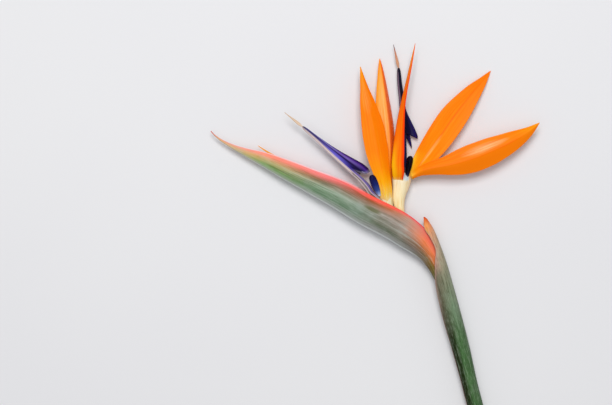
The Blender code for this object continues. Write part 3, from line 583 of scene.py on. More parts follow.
def tongue_material(name, dark=False):
    m = Mat(name)
    u, k, g = m.attr("u"), m.attr("wing"), m.attr("groove")
    lines = m.noise(m.combine(m.math("MULTIPLY", u, 4.0), m.math("MULTIPLY", k, 16.0), 3.0), 1.0, 4.0, 0.6)
    k2 = m.math("ADD", k, m.math("MULTIPLY", m.math("SUBTRACT", lines, 0.5), 0.08), clamp=True)
    lip = m.attr("lip")
    if dark:
        col = m.ramp(k2, [(0.0, (10, 8, 40)), (0.3, (14, 8, 46)), (0.6, (24, 16, 70)), (0.85, (34, 22, 92)),
                          (1.0, (8, 4, 26))])
        col = m.mix(m.remap(u, 0.62, 0.80, 0.0, 0.7), col, (14, 8, 30))
        col = m.mix(m.remap(lines, 0.58, 0.78, 0.0, 0.35), col, (44, 40, 128))
        claw = m.ramp(m.attr("ring"), [(0.0, (20, 34, 92)), (0.5, (10, 12, 48)), (1.0, (22, 34, 90))])
        claw = m.mix(m.remap(u, 0.02, 0.09, 0.9, 0.0), claw, (206, 212, 216))
        col = m.mix(m.remap(u, 0.34, 0.41, 1.0, 0.0), col, claw)
        col = m.mix(lip, col, (24, 12, 40))
        # painted shade: the cream groove of the dark tongue is painted grey-lilac, as it lies in shade
        col = m.mix(g, col, m.ramp(u, [(0.0, (150, 140, 150)), (0.6, (104, 84, 110)), (1.0, (92, 70, 92))]))
    else:
        fore = m.ramp(k2, [(0.0, (60, 52, 110)), (0.12, (32, 26, 76)), (0.32, (96, 92, 158)), (0.58, (134, 132, 194)),
                           (0.80, (104, 98, 170)), (0.92, (44, 34, 92)), (1.0, (16, 8, 40))])
        wing = m.ramp(k2, [(0.0, (104, 96, 200)), (0.12, (84, 74, 182)), (0.20, (46, 32, 112)), (0.27, (20, 8, 46)),
                           (0.38, (56, 32, 108)), (0.54, (126, 104, 180)), (0.70, (92, 58, 150)),
                           (0.88, (50, 22, 104)), (1.0, (16, 6, 40))])
        tail = m.ramp(k2, [(0.0, (60, 46, 140)), (0.08, (20, 8, 70)), (0.30, (12, 4, 44)), (0.50, (28, 10, 84)),
                           (0.68, (72, 38, 138)), (0.84, (36, 12, 90)), (1.0, (14, 4, 40))])
        col = m.mix(m.remap(u, 0.42, 0.56, 1.0, 0.0), wing, tail)
        col = m.mix(m.remap(u, 0.62, 0.82, 0.0, 1.0), col, fore)
        col = m.mix(m.remap(u, 0.95, 1.0, 0.0, 0.9), col, (26, 16, 56))
        claw = m.ramp(m.attr("ring"), [(0.0, (150, 130, 148)), (0.3, (188, 184, 186)), (0.60, (176, 172, 184)),
                                       (0.70, (112, 98, 158)), (1.0, (96, 82, 150))])
        claw = m.mix(m.remap(u, 0.0, 0.10, 0.8, 0.0), claw, (226, 226, 212))
        col = m.mix(m.remap(u, 0.34, 0.405, 1.0, 0.0), col, claw)
        col = m.mix(m.math("MULTIPLY", lip, 0.85), col, (204, 184, 190))
        col = m.mix(g, col, m.ramp(u, [(0.0, (196, 190, 186)), (0.4, (216, 206, 204)), (1.0, (232, 214, 210))]))
    col = m.mix(m.remap(lines, 0.42, 0.24, 0.0, 0.35), col, (14, 6, 36))
    fine = m.noise(m.where(), 900.0, 3.0, 0.6)
    nor = m.bump(m.math("ADD", lines, m.math("MULTIPLY", fine, 0.4)), 0.28, 0.0002)
    return m.done(col, m.remap(lines, 0.3, 0.7, 0.30, 0.46), nor, Specular_IOR_Level=0.08)


def hood_material(name, stops, sheen=(60, 84, 156)):
    m = Mat(name)
    u, v = m.attr("u"), m.attr("v")
    av = m.math("ABSOLUTE", v)
    lines = m.noise(m.combine(m.math("MULTIPLY", u, 2.0), m.math("MULTIPLY", v, 9.0), 2.0), 1.0, 4.0, 0.6)
    col = m.ramp(m.math("ADD", u, m.math("MULTIPLY", m.math("SUBTRACT", lines, 0.5), 0.35)), stops)
    col = m.mix(m.remap(lines, 0.54, 0.76, 0.0, 0.45), col, sheen)
    col = m.mix(m.remap(av, 0.5, 1.0, 0.0, 0.7), col, (8, 4, 30))
    nor = m.bump(lines, 0.3, 0.0002)
    return m.done(col, 0.36, nor, Specular_IOR_Level=0.08)


def style_material(name, stops):
    m = Mat(name)
    u, v = m.attr("u"), m.attr("v")
    lines = m.noise(m.combine(m.math("MULTIPLY", u, 24.0), m.math("MULTIPLY", v, 12.0), 2.0), 1.0, 3.0, 0.6)
    col = m.ramp(u, stops)
    col = m.mix(m.remap(lines, 0.42, 0.24, 0.0, 0.35), col, (150, 92, 66))
    col = m.mix(m.remap(lines, 0.58, 0.80, 0.0, 0.4), col, (246, 226, 204))
    return m.done(col, 0.45, m.bump(lines, 0.3, 0.0001))


def pollen_material(name="pollen", dark=False):
    m = Mat(name)
    u, v = m.attr("u"), m.attr("v")
    grains = m.noise(m.where(), 2600.0, 4.0, 0.7)
    lines = m.noise(m.combine(m.math("MULTIPLY", u, 30.0), m.math("MULTIPLY", v, 10.0), 1.0), 1.0, 3.0, 0.6)
    col = m.ramp(grains, [(0.25, (206, 188, 178)), (0.5, (236, 220, 214)), (0.75, (248, 236, 226))])
    col = m.mix(m.remap(lines, 0.4, 0.2, 0.0, 0.4), col, (190, 160, 150))
    if dark:
        col = m.ramp(grains, [(0.25, (96, 70, 92)), (0.5, (132, 106, 128)), (0.75, (168, 146, 164))])
        col = m.mix(m.remap(u, 0.5, 0.0, 0.0, 0.7), col, (70, 52, 84))
    return m.done(col, 0.8, m.bump(grains, 0.5, 0.0002), Specular_IOR_Level=0.2)


# --------------------------------------------------------------- the organs

STEM_LINE = [(139.0, -249.0, 4.9), (131.0, -206.0, 5.35), (123.4, -167.0, 5.75), (118.2, -142.5, 6.0),
             (114.8, -129.2, 6.2), (107.7, -100.5, 6.8), (101.9, -79.6, 7.4), (98.9, -66.8, 7.9)]


def make_peduncle():
    spine = curve_through(STEM_LINE)
    nt, sides = 150, 72
    t = np.concatenate([[0.0, 0.0, 0.0008, 0.002], np.linspace(0.004, 1, nt)])
    c, tan, n, s = frames(spine, t, np.zeros(len(t)))
    r = profile((0, 4.9), (0.38, 4.7), (0.47, 4.3), (0.9, 4.1), (1, 3.7))(t)
    r[0] *= 0.55
    r[1] *= 0.955
    r[2] *= 0.985
    A = np.broadcast_to(np.linspace(0, 2 * math.pi, sides, endpoint=False)[None], (len(t), sides))
    U = np.broadcast_to(t[:, None], A.shape)
    w = Waves(11)
    k = 1 + 0.006 * np.cos(22 * A + 1.2 * w(8 * U, np.cos(A))) + 0.008 * w(14 * U, 2 * np.cos(A))
    rr = r[:, None] * k
    rings = c[:, None] + s[:, None] * (rr * np.cos(A))[..., None] + n[:, None] * (rr * np.sin(A))[..., None]
    rings[0] -= tan[0] * 0.12
    rings[:, :, 2] = np.maximum(rings[:, :, 2], 0.0)
    cut = np.zeros(A.shape)
    cut[0], cut[1] = 1.0, 1.0
    obj = grid_mesh("peduncle_skin", rings, {"u": U, "v": A / (2 * math.pi), "cut": cut}, cap="fan")
    return finish_piece(obj, stem_material(), "peduncle")


def make_sheath():
    line = STEM_LINE[2:-1] + [(96.6, -59.2, 8.0), (91.9, -42.0, 8.5), (88.7, -31.0, 8.6),
                              (85.3, -20.4, 8.7), (83.0, -15.0, 8.7), (81.7, -10.2, 8.7)]
    spine = curve_through(line)
    nt, nv = 210, 65
    t = stations(nt)
    c, tan, n, s = frames(spine, t, np.zeros(nt))
    r = profile((0, 5.5), (0.10, 5.55), (0.24, 5.5), (0.42, 6.25), (0.56, 6.55), (0.69, 6.2),
                (0.78, 5.9), (0.85, 5.2), (0.92, 4.3), (0.965, 3.4), (0.988, 2.4), (1, 1.0))(t)
    wall = profile((0, 0.5), (0.1, 0.85), (0.9, 0.75), (1, 0.3))(t)
    near = profile((0, 173), (0.62, 173), (0.68, 166), (0.72, 150), (0.80, 112), (0.86, 82),
                   (0.91, 96), (0.95, 118), (1, 90))(t)
    far = profile((0, 168), (0.62, 168), (0.68, 160), (0.72, 142), (0.80, 106), (0.86, 88),
                  (0.92, 84), (1, 70))(t)
    depth = profile((0, 5.5), (0.24, 5.5), (0.42, 6.25), (0.56, 6.55), (0.72, 6.6),
                    (0.85, 6.5), (0.92, 5.2), (0.965, 3.7), (0.988, 2.4), (1, 1.0))(t)
    q = np.linspace(0, 1, nv)
    ang = np.radians(-far[:, None] + (near + far)[:, None] * q[None])
    U = np.broadcast_to(t[:, None], ang.shape)
    w, w2 = Waves(21), Waves(22)
    ribs = 0.045 * np.cos(30 * ang + 1.0 * w2(10 * U, ang)) + 0.09 * w(15 * U, 1.6 * ang)
    edge = np.abs(2 * q - 1)[None] * np.ones_like(ang)
    thin = 1 - 0.55 * np.clip((edge - 0.93) / 0.07, 0, 1)
    out_r, out_d = r[:, None] + ribs, depth[:, None] + ribs
    # the overlapping near margin stands a little proud of the far one
    lift = 0.22 * np.clip((q - 0.94) / 0.06, 0, 1)[None]
    out_r, out_d = out_r + lift, out_d + lift
    ww = wall[:, None] * thin
    floor_guard = 0.03

    def place(rx, ry):
        p = (c[:, None] + s[:, None] * (rx * np.cos(ang))[..., None] + n[:, None] * (ry * np.sin(ang))[..., None])
        p[:, :, 2] = np.maximum(p[:, :, 2], floor_guard)
        return p

    outer, inner = place(out_r, out_d), place(out_r - ww, out_d - ww)
    rings = np.concatenate([outer, inner[:, ::-1]], axis=1)
    a01 = np.abs(ang) / math.pi
    obj = grid_mesh("stem_sheath_skin", rings, {
        "u": np.concatenate([U, U], 1), "ang": np.concatenate([a01, a01[:, ::-1]], 1),
        "edge": np.concatenate([edge, edge[:, ::-1]], 1),
        "inner": np.concatenate([np.zeros_like(ang), np.ones_like(ang)], 1)})
    return finish_piece(obj, sheath_material(), "stem_sheath")


SPATHE_MARGIN = [(99.9, -60.0), (97.4, -50.5), (95.0, -41.0), (91.0, -31.0), (85.2, -20.9),
                 (77.5, -13.2), (67.5, -6.2), (46.2, 4.6), (29.4, 14.3), (7.0, 22.8),
                 (-14.6, 30.6), (-27.9, 34.9), (-40.4, 37.6), (-50.9, 40.6), (-59.3, 44.5),
                 (-63.5, 47.3), (-66.3, 50.1)]
SPATHE_KEEL = [(93.9, -61.4), (89.4, -53.4), (85.4, -46.4), (80.2, -40.2), (73.6, -35.4),
               (66.5, -31.4), (57.0, -25.5), (36.1, -14.4), (19.5, -4.1), (-1.0, 7.8),
               (-18.1, 17.5), (-32.1, 26.0), (-41.6, 31.5), (-51.0, 37.1), (-59.3, 42.5),
               (-63.6, 46.2), (-66.5, 49.4)]


def make_spathe():
    margin = curve_through([(x, y, 0) for x, y in SPATHE_MARGIN])
    keel = curve_through([(x, y, 0) for x, y in SPATHE_KEEL])
    nt, nv = 230, 81
    t = stations(nt, end_power=1.2)
    half_w = profile((0, 3.0), (0.06, 3.2), (0.12, 4.0), (0.18, 5.2), (0.25, 6.9),
                     (0.36, 8.2), (0.50, 7.4), (0.64, 5.6), (0.80, 3.2),
                     (0.90, 1.5), (0.96, 0.8), (1, 0.36))(t)
    gap = profile((0, 0.3), (0.15, 0.4), (0.22, 1.6), (0.28, 6.0), (0.40, 6.2), (0.46, 2.6),
                  (0.60, 1.4), (0.80, 0.9), (0.88, 0.45), (1, 0.12))(t)
    z = profile((0, 8.2), (0.5, 8.2), (0.8, 7.0), (1, 5.2))(t)
    m, k = margin(t), keel(t)
    c = (m + k) / 2
    depth = np.linalg.norm(m - k, axis=1) / 2
    side = (m - k) / (2 * depth)[:, None]
    c[:, 2] = z
    up = np.array([0, 0, 1.0])
    q = np.linspace(-1, 1, nv)
    qa = np.abs(q)
    a = qa ** 0.92 * math.pi
    sign = np.where(q >= 0, 1.0, -1.0)
    wall = np.minimum(1.25, 0.36 * np.minimum(half_w, depth))
    U = np.broadcast_to(t[:, None], (nt, nv))
    Q = np.broadcast_to(q[None], (nt, nv))
    y = -depth[:, None] * np.cos(a)[None]
    x = half_w[:, None] * (np.maximum(np.sin(a), 0) ** 0.86 * (1 + 0.10 * np.cos(a)))[None]
    marg = np.maximum(0.0, (a / math.pi - 0.72) / 0.28)[None]
    x = x + (wall + gap / 2)[:, None] * marg ** 1.5
    w, w2 = Waves(31), Waves(32)
    env = np.clip(np.minimum(U / 0.1, (1 - U) / 0.08), 0, 1)
    big = np.clip(half_w / 6, 0, 1)[:, None]
    bumps = (0.05 * w(13 * U, 2.4 * Q) + 0.05 * np.cos(56 * Q + 1.1 * w2(7 * U, 2 * Q))) * env * big
    bumps = bumps * (1 - 0.7 * qa[None] ** 6)
    rim = 0.16 * np.exp(-((qa - 0.985) / 0.02) ** 2)[None] * env * big
    x = np.maximum(x + bumps + rim, 0) * sign[None]
    outer = np.stack([x, np.broadcast_to(y, x.shape)], -1)
    d = np.gradient(outer, axis=1)
    nrm = np.stack([-d[..., 1], d[..., 0]], -1)
    nrm /= np.linalg.norm(nrm, axis=-1, keepdims=True) + 1e-12
    mid = nv // 2
    flip = np.where(nrm[:, mid, 1] < 0, -1.0, 1.0)
    nrm *= flip[:, None, None]
    ww = wall[:, None] * ((1 + 0.45 * np.exp(-(qa / 0.12) ** 2)) * (1 - 0.35 * qa ** 4))[None]
    inner = outer + nrm * ww[..., None]
    least = np.maximum(0.5 * gap, 0.06)[:, None] * np.minimum(1, qa / 0.15)[None]
    inner[..., 0] = np.sign(outer[..., 0]) * np.maximum(np.abs(inner[..., 0]), least)
    inner[:, mid, 0] = 0

    def place(p):
        r = c[:, None] + side[:, None] * p[..., 1:] + up * p[..., :1]
        r[:, :, 2] = np.maximum(r[:, :, 2], 0.03)
        return r

    rings = np.concatenate([place(outer), place(inner)[:, ::-1]], 1)
    h = np.broadcast_to(((1 - np.cos(a)) / 2)[None], x.shape)
    obj = grid_mesh("spathe_skin", rings, {
        "u": np.concatenate([U, U], 1), "v": np.concatenate([Q, Q[:, ::-1]], 1),
        "h": np.concatenate([h, h[:, ::-1]], 1),
        "inner": np.concatenate([np.zeros_like(h), np.ones_like(h)], 1)})
    finish_piece(obj, spathe_material(), "spathe")


def make_inside():
    cream = flesh_material("inner_flesh", [(0.0, (226, 214, 160)), (1.0, (240, 226, 178))])
    rod("rachis_skin", [(80.6, -28.4, 8.2), (72.5, -23.8, 8.2), (66.6, -21.6, 8.2)],
        profile((0, 1.7), (0.6, 2.4), (1, 2.6)), cream, nt=24, node="rachis")
    bud = flesh_material("bud_flesh", [(0.0, (214, 214, 150)), (0.5, (236, 200, 110)), (1.0, (244, 150, 50))])
    rod("unopened_bud_skin",
        [(55.6, -18.6, 8.1), (42.0, -8.6, 8.0), (17.0, 4.0, 7.8), (-6.0, 15.4, 7.3)],
        profile((0, 1.9), (0.15, 2.9), (0.5, 3.1), (0.8, 2.0), (0.95, 0.9), (1, 0.3)),
        bud, nt=60, node="unopened_bud", ribs=3, rib_h=0.05)


ALONG = [(0.0, (248, 214, 110)), (0.12, (250, 204, 50)), (0.19, (254, 180, 6)),
         (0.29, (253, 150, 4)), (0.42, (251, 131, 2)), (0.80, (250, 128, 2)), (0.90, (250, 140, 6)),
         (1.0, (250, 162, 24))]


def make_flower_a():
    cream = flesh_material("tube_a_flesh", [(0.0, (226, 206, 140)), (0.5, (240, 224, 170)), (1.0, (228, 226, 196))],
                           right=(250, 220, 150))
    rod("flower_a_tube_skin",
        [(62.6, -17.0, 8.3), (59.9, -9.6, 8.3), (57.6, -3.6, 8.4), (55.9, 3.1, 9.2), (55.0, 7.0, 10.0)],
        profile((0, 2.2), (0.34, 2.7), (0.6, 3.4), (0.85, 4.2), (1, 3.8)), cream, nt=70, sides=64,
        ribs=5, rib_h=0.02, lump=0.02, round_end=0.2,
        flatten=profile((0, 1.0), (0.42, 0.98), (0.85, 0.84), (1, 0.8)), node="flower_a_tube")

    # painted shade: the right-hand half is painted a deeper orange where it turns away from the light; a painted
    # highlight lies near the tip
    front = sepal_material("sepal_front", ALONG, seed=1.0, side=1.0, side_colour=(252, 122, 3),
                           side_at=(0.0, 0.6, 0.5), painted_highlight=0.30, painted_highlight_at=(0.80, -0.2, 0.14, 0.7),
                           painted_highlight_colour=(255, 196, 110), edge=(0.7, 1.0, 0.0), rib=0.1, side_from=0.36, foot=0.095,
                           foot_colour=(248, 230, 172))
    blade("flower_a_sepal_front_skin",
          [(58.4, -5.0, 8.6), (57.2, -0.6, 10.9), (56.4, 3.6, 13.2), (55.7, 8.0, 14.4), (54.2, 15.4, 15.2),
           (51.6, 27.0, 16.0),
           (48.4, 43.7, 16.4), (46.8, 52.5, 16.4), (43.1, 69.0, 15.2), (39.8, 84.0, 12.8),
           (37.8, 94.5, 10.6)],
          profile((0, 8.2), (0.04, 9.4), (0.08, 10.3), (0.132, 10.8), (0.188, 11.2), (0.28, 13.1),
                  (0.354, 15.6), (0.437, 17.2), (0.511, 17.1), (0.603, 16.0), (0.686, 13.4),
                  (0.774, 10.2), (0.843, 6.7), (0.912, 4.0), (0.96, 2.0), (1, 0.5)),
          profile((0, 6), (0.3, 14), (1, 10)),
          profile((0, -44), (0.1, -34), (0.2, -24), (0.6, -17), (1, -26)),
          profile((0, 0), (0.5, 6), (1, -6)), front, seed=101, node="flower_a_sepal_front")

    # painted shade: the narrow strip past the keel, turned away from the light, is painted red-orange; the broad face
    # carries a large painted highlight
    glossy_with_painted_highlight = sepal_material("sepal_back", [(0.0, (250, 200, 90)), (0.15, (252, 150, 14)), (0.35, (252, 146, 14)),
                                           (0.8, (252, 158, 26)), (1.0, (252, 140, 10))],
                            painted_highlight=0.78, painted_highlight_at=(0.60, -0.34, 0.44, 0.54), painted_highlight_colour=(250, 196, 124), seed=2.0,
                            side=1.0, side_colour=(255, 108, 3), side_at=(0.0, 0.05, 1.0), side_from=0.30,
                            edge=(0.9, 1.0, 0.0),
                            rough=0.32)
    blade("flower_a_sepal_back_skin",
          [(58.1, 3.8, 7.0), (58.2, 10.0, 7.6), (58.3, 18.0, 8.2), (58.6, 34.0, 8.9),
           (57.7, 50.0, 9.2), (55.8, 66.0, 8.8), (53.6, 84.0, 6.8), (51.5, 100.4, 3.6)],
          profile((0, 5.0), (0.08, 6.8), (0.20, 10.2), (0.36, 14.4), (0.49, 16.2), (0.61, 15.2),
                  (0.74, 11.6), (0.86, 7.0), (0.95, 3.2), (1, 0.5)),
          profile((0, 14), (0.2, 26), (0.5, 30), (0.8, 28), (1, 20)),
          profile((0, -34), (0.3, -36), (0.7, -36), (1, -30)),
          profile((0, 0), (1, 6)), glossy_with_painted_highlight, seed=103, node="flower_a_sepal_back")

    lower = sepal_material("sepal_lower", [(0.0, (238, 216, 150)), (0.5, (254, 170, 30)), (1.0, (252, 176, 40))], seed=3.0)
    blade("flower_a_sepal_lower_skin",
          [(54.4, -7.6, 8.4), (46.0, -1.4, 8.2), (28.0, 8.6, 8.05), (4.0, 20.4, 7.75),
           (-16.0, 28.8, 7.2), (-27.0, 35.0, 6.7), (-33.6, 39.6, 6.5)],
          profile((0, 4.0), (0.2, 6.6), (0.45, 6.8), (0.7, 4.8), (0.84, 2.6), (0.94, 1.6), (1, 0.5)),
          profile((0, 90), (1, 90)),
          profile((0, 64), (0.4, 74), (0.7, 78), (1, 70)),
          profile((0, 0), (1, 0)), lower, nt=100, nv=33, thick=0.55, edge=0.28, wave=0.05,
          seed=104, node="flower_a_sepal_lower")

    hood = hood_material("hood_a", [(0.0, (204, 216, 232)), (0.14, (126, 150, 206)), (0.30, (48, 72, 142)),
                                    (0.55, (24, 36, 104)), (0.8, (18, 18, 74)), (1.0, (16, 8, 48))])
    blade("flower_a_hood_skin",
          [(51.1, 4.4, 13.2), (49.9, 7.4, 14.8), (48.2, 11.2, 16.0), (46.2, 16.0, 16.7),
           (45.3, 19.1, 16.6)],
          profile((0, 2.8), (0.25, 5.6), (0.6, 7.0), (0.85, 6.4), (0.93, 5.2), (0.975, 3.6), (1, 1.4)),
          profile((0, -8), (1, -8)),
          profile((0, -44), (0.5, -40), (1, -44)),
          profile((0, -10), (1, -14)), hood, nt=60, nv=33, thick=0.7, edge=0.4, veins=4,
          wave=0.08, seed=105, node="flower_a_hood")


def make_flower_b():
    cream = flesh_material("tube_b_flesh", [(0.0, (232, 212, 150)), (0.35, (250, 228, 168)), (0.65, (250, 232, 186)),
                                            (0.80, (244, 226, 186)), (0.90, (232, 222, 196)), (1.0, (216, 216, 206))],
                           seed=2.0, top=(0.93, 0.09, 0.17, 0.09))
    rod("flower_b_tube_skin",
        [(68.2, -17.4, 8.2), (66.2, -9.0, 8.2), (64.8, -2.0, 8.2), (64.8, 5.2, 8.3),
         (66.0, 11.6, 8.4), (66.6, 17.1, 8.6), (66.9, 21.2, 8.9)],
        profile((0, 2.1), (0.22, 2.8), (0.41, 3.7), (0.59, 4.7), (0.75, 5.9), (0.89, 6.7), (1, 5.8)),
        cream, nt=110, sides=80,
        flatten=profile((0, 1.0), (0.27, 0.92), (0.45, 0.88), (0.89, 0.72), (1, 0.7)), ribs=5,
        rib_h=0.02, lump=0.02, round_end=0.14, node="flower_b_tube")

    # painted shade: the thin right-hand margin is painted red; the yellow along the keel at the foot is partly the
    # sepal's own yellow base and partly a painted highlight on the keel
    keeled = sepal_material("sepal_keeled", [(0.0, (252, 168, 10)), (0.06, (252, 150, 6)), (0.14, (250, 122, 4)),
                                             (0.34, (250, 114, 3)), (0.55, (250, 112, 3)), (0.8, (251, 128, 6)),
                                             (0.95, (252, 158, 30)), (1.0, (250, 180, 60))],
                            seed=4.0, deep=(248, 84, 2), keel=0.90, keel_colour=(252, 196, 16), keel_to=0.30,
                            keel_at=(-0.50, -0.12), side=-1.0, side_colour=(252, 60, 2), side_at=(0.70, 0.92, 0.95),
                            edge=(0.95, 1.0, 0.0), foot=0.018, foot_colour=(250, 214, 110))
    blade("flower_b_sepal_keeled_skin",
          [(61.2, 15.8, 10.2), (60.7, 18.6, 12.4), (60.3, 22.0, 13.9), (60.0, 26.0, 14.5), (60.9, 36.5, 14.8), (62.8, 50.4, 14.9),
           (65.3, 64.2, 14.8), (68.5, 78.1, 14.4), (71.8, 92.0, 13.7), (75.9, 110.6, 12.4)],
          profile((0, 14.0), (0.03, 15.4), (0.06, 17.6), (0.10, 18.6), (0.20, 17.6), (0.27, 16.0), (0.34, 14.6), (0.42, 13.2),
                  (0.49, 11.8), (0.57, 10.4), (0.72, 8.2), (0.80, 6.4), (0.875, 4.6), (0.95, 2.4),
                  (1, 0.5)),
          profile((0, 90), (1, 92)),
          profile((0, 66), (0.2, 66), (0.34, 58), (0.49, 41), (0.57, 32), (0.72, 22), (1, 18)),
          profile((0, 0), (1, 0)), keeled, wave=0.12, seed=106, node="flower_b_sepal_keeled")

    along = [(0.0, (252, 206, 96)), (0.05, (252, 190, 30)), (0.12, (252, 164, 8)), (0.22, (252, 138, 3)),
             (0.6, (251, 130, 3)), (0.9, (251, 124, 3)), (1.0, (250, 120, 6))]
    # painted highlight near the foot on the lit wall of the midrib groove; rib=0.8 paints the shade in the groove as a
    # deep line
    upper = sepal_material("sepal_upper", along, seed=5.0, painted_highlight=0.62, painted_highlight_at=(0.24, 0.06, 0.17, 0.17),
                           painted_highlight_colour=(255, 206, 120), edge=(0.93, 1.0, 0.3), rib=0.8, keel=0.85,
                           keel_colour=(255, 214, 50), keel_to=0.20, keel_at=(-0.50, -0.90))
    blade("flower_b_sepal_upper_skin",
          [(72.9, 17.2, 6.5), (78.4, 25.0, 7.0), (90.4, 41.6, 7.8), (103.6, 60.4, 7.0),
           (115.4, 75.4, 4.8), (123.0, 84.2, 2.6), (129.1, 92.0, 0.5)],
          profile((0, 5.0), (0.09, 11.0), (0.18, 15.4), (0.29, 18.2), (0.39, 19.6), (0.49, 20.0),
                  (0.59, 18.8), (0.69, 15.8), (0.8, 11.6), (0.9, 6.4), (0.96, 2.9), (1, 0.5)),
          profile((0, -12), (0.4, -4), (1, -4)),
          profile((0, 30), (0.3, 18), (0.7, 14), (1, 22)),
          profile((0, 0), (0.5, -6), (1, 0)), upper, seed=107, node="flower_b_sepal_upper")

    along = [(0.0, (252, 200, 60)), (0.04, (252, 150, 8)), (0.10, (251, 126, 3)), (0.3, (251, 126, 3)),
             (0.8, (251, 130, 3)), (0.93, (252, 148, 6)), (1.0, (250, 160, 14))]
    # painted highlight: a pale patch painted where the outer sepal's sheen would reflect the light
    outer = sepal_material("sepal_outer", along, seed=6.0, painted_highlight=0.62, painted_highlight_at=(0.56, -0.42, 0.20, 0.32),
                           side=1.0, side_colour=(255, 128, 6), side_at=(0.0, 0.25, 0.9), edge=(0.96, 1.0, 0.0),
                           rim=0.5, rim_colour=(252, 150, 70))
    blade("flower_b_sepal_outer_skin",
          [(73.6, 18.2, 12.2), (79.6, 21.6, 13.2), (86.8, 23.6, 14.2), (101.0, 26.2, 15.8),
           (115.0, 30.2, 16.8), (129.0, 35.6, 16.8), (143.0, 42.2, 15.2), (154.2, 48.7, 13.0),
           (162.4, 55.4, 10.8)],
          profile((0, 4.6), (0.07, 7.6), (0.15, 10.4), (0.22, 12.6), (0.29, 15.8), (0.37, 19.4),
                  (0.455, 21.0), (0.575, 20.2), (0.70, 17.0), (0.78, 14.0), (0.88, 8.8), (0.95, 4.2),
                  (1, 0.5)),
          profile((0, 4), (0.5, 6), (1, 4)),
          profile((0, -34), (0.3, -22), (0.7, -20), (1, -26)),
          profile((0, 0), (0.5, 8), (1, 0)), outer, seed=108, node="flower_b_sepal_outer")

    hood = hood_material("hood_b", [(0.0, (60, 64, 100)), (0.10, (16, 20, 50)), (0.30, (5, 7, 22)),
                                    (0.7, (4, 4, 14)), (1.0, (16, 6, 30))], sheen=(14, 22, 40))
    blade("flower_b_hood_skin",
          [(70.3, 17.9, 11.3), (71.0, 22.0, 12.0), (72.1, 27.6, 12.3), (72.9, 32.4, 11.9)],
          profile((0, 2.6), (0.3, 4.6), (0.6, 5.6), (0.82, 6.0), (0.92, 5.0), (0.97, 3.4), (1, 1.4)),
          profile((0, 6), (1, 6)),
          profile((0, -44), (0.5, -40), (1, -44)),
          profile((0, -10), (1, -14)), hood, nt=60, nv=33, thick=0.7, edge=0.4, veins=4,
          wave=0.08, seed=109, node="flower_b_hood")


def resample_closed(pts, marks, n):
    """A closed control polygon (m, 3) with per-point values (m, k), smoothed and resampled to four points per span. n
    is not used.
    """
    p = np.vstack([pts[-2:], pts, pts[:3]])
    q = np.vstack([marks[-2:], marks, marks[:3]])
    out, val = [], []
    for i in range(2, 2 + len(pts)):
        p0, p1, p2, p3 = p[i - 1], p[i], p[i + 1], p[i + 2]
        a = np.linalg.norm(p1 - p0) ** 0.5 + 1e-6
        b = np.linalg.norm(p2 - p1) ** 0.5 + 1e-6
        cc = np.linalg.norm(p3 - p2) ** 0.5 + 1e-6
        m1 = (p2 - p1) + b * ((p1 - p0) / a - (p2 - p0) / (a + b))
        m2 = (p2 - p1) + b * ((p3 - p2) / cc - (p3 - p1) / (b + cc))
        for s in (0, 0.25, 0.5, 0.75):
            out.append((2 * s ** 3 - 3 * s ** 2 + 1) * p1 + (s ** 3 - 2 * s ** 2 + s) * m1
                       + (-2 * s ** 3 + 3 * s ** 2) * p2 + (s ** 3 - s ** 2) * m2)
            val.append(q[i] * (1 - s) + q[i + 1] * s)
    return np.array(out), np.array(val)


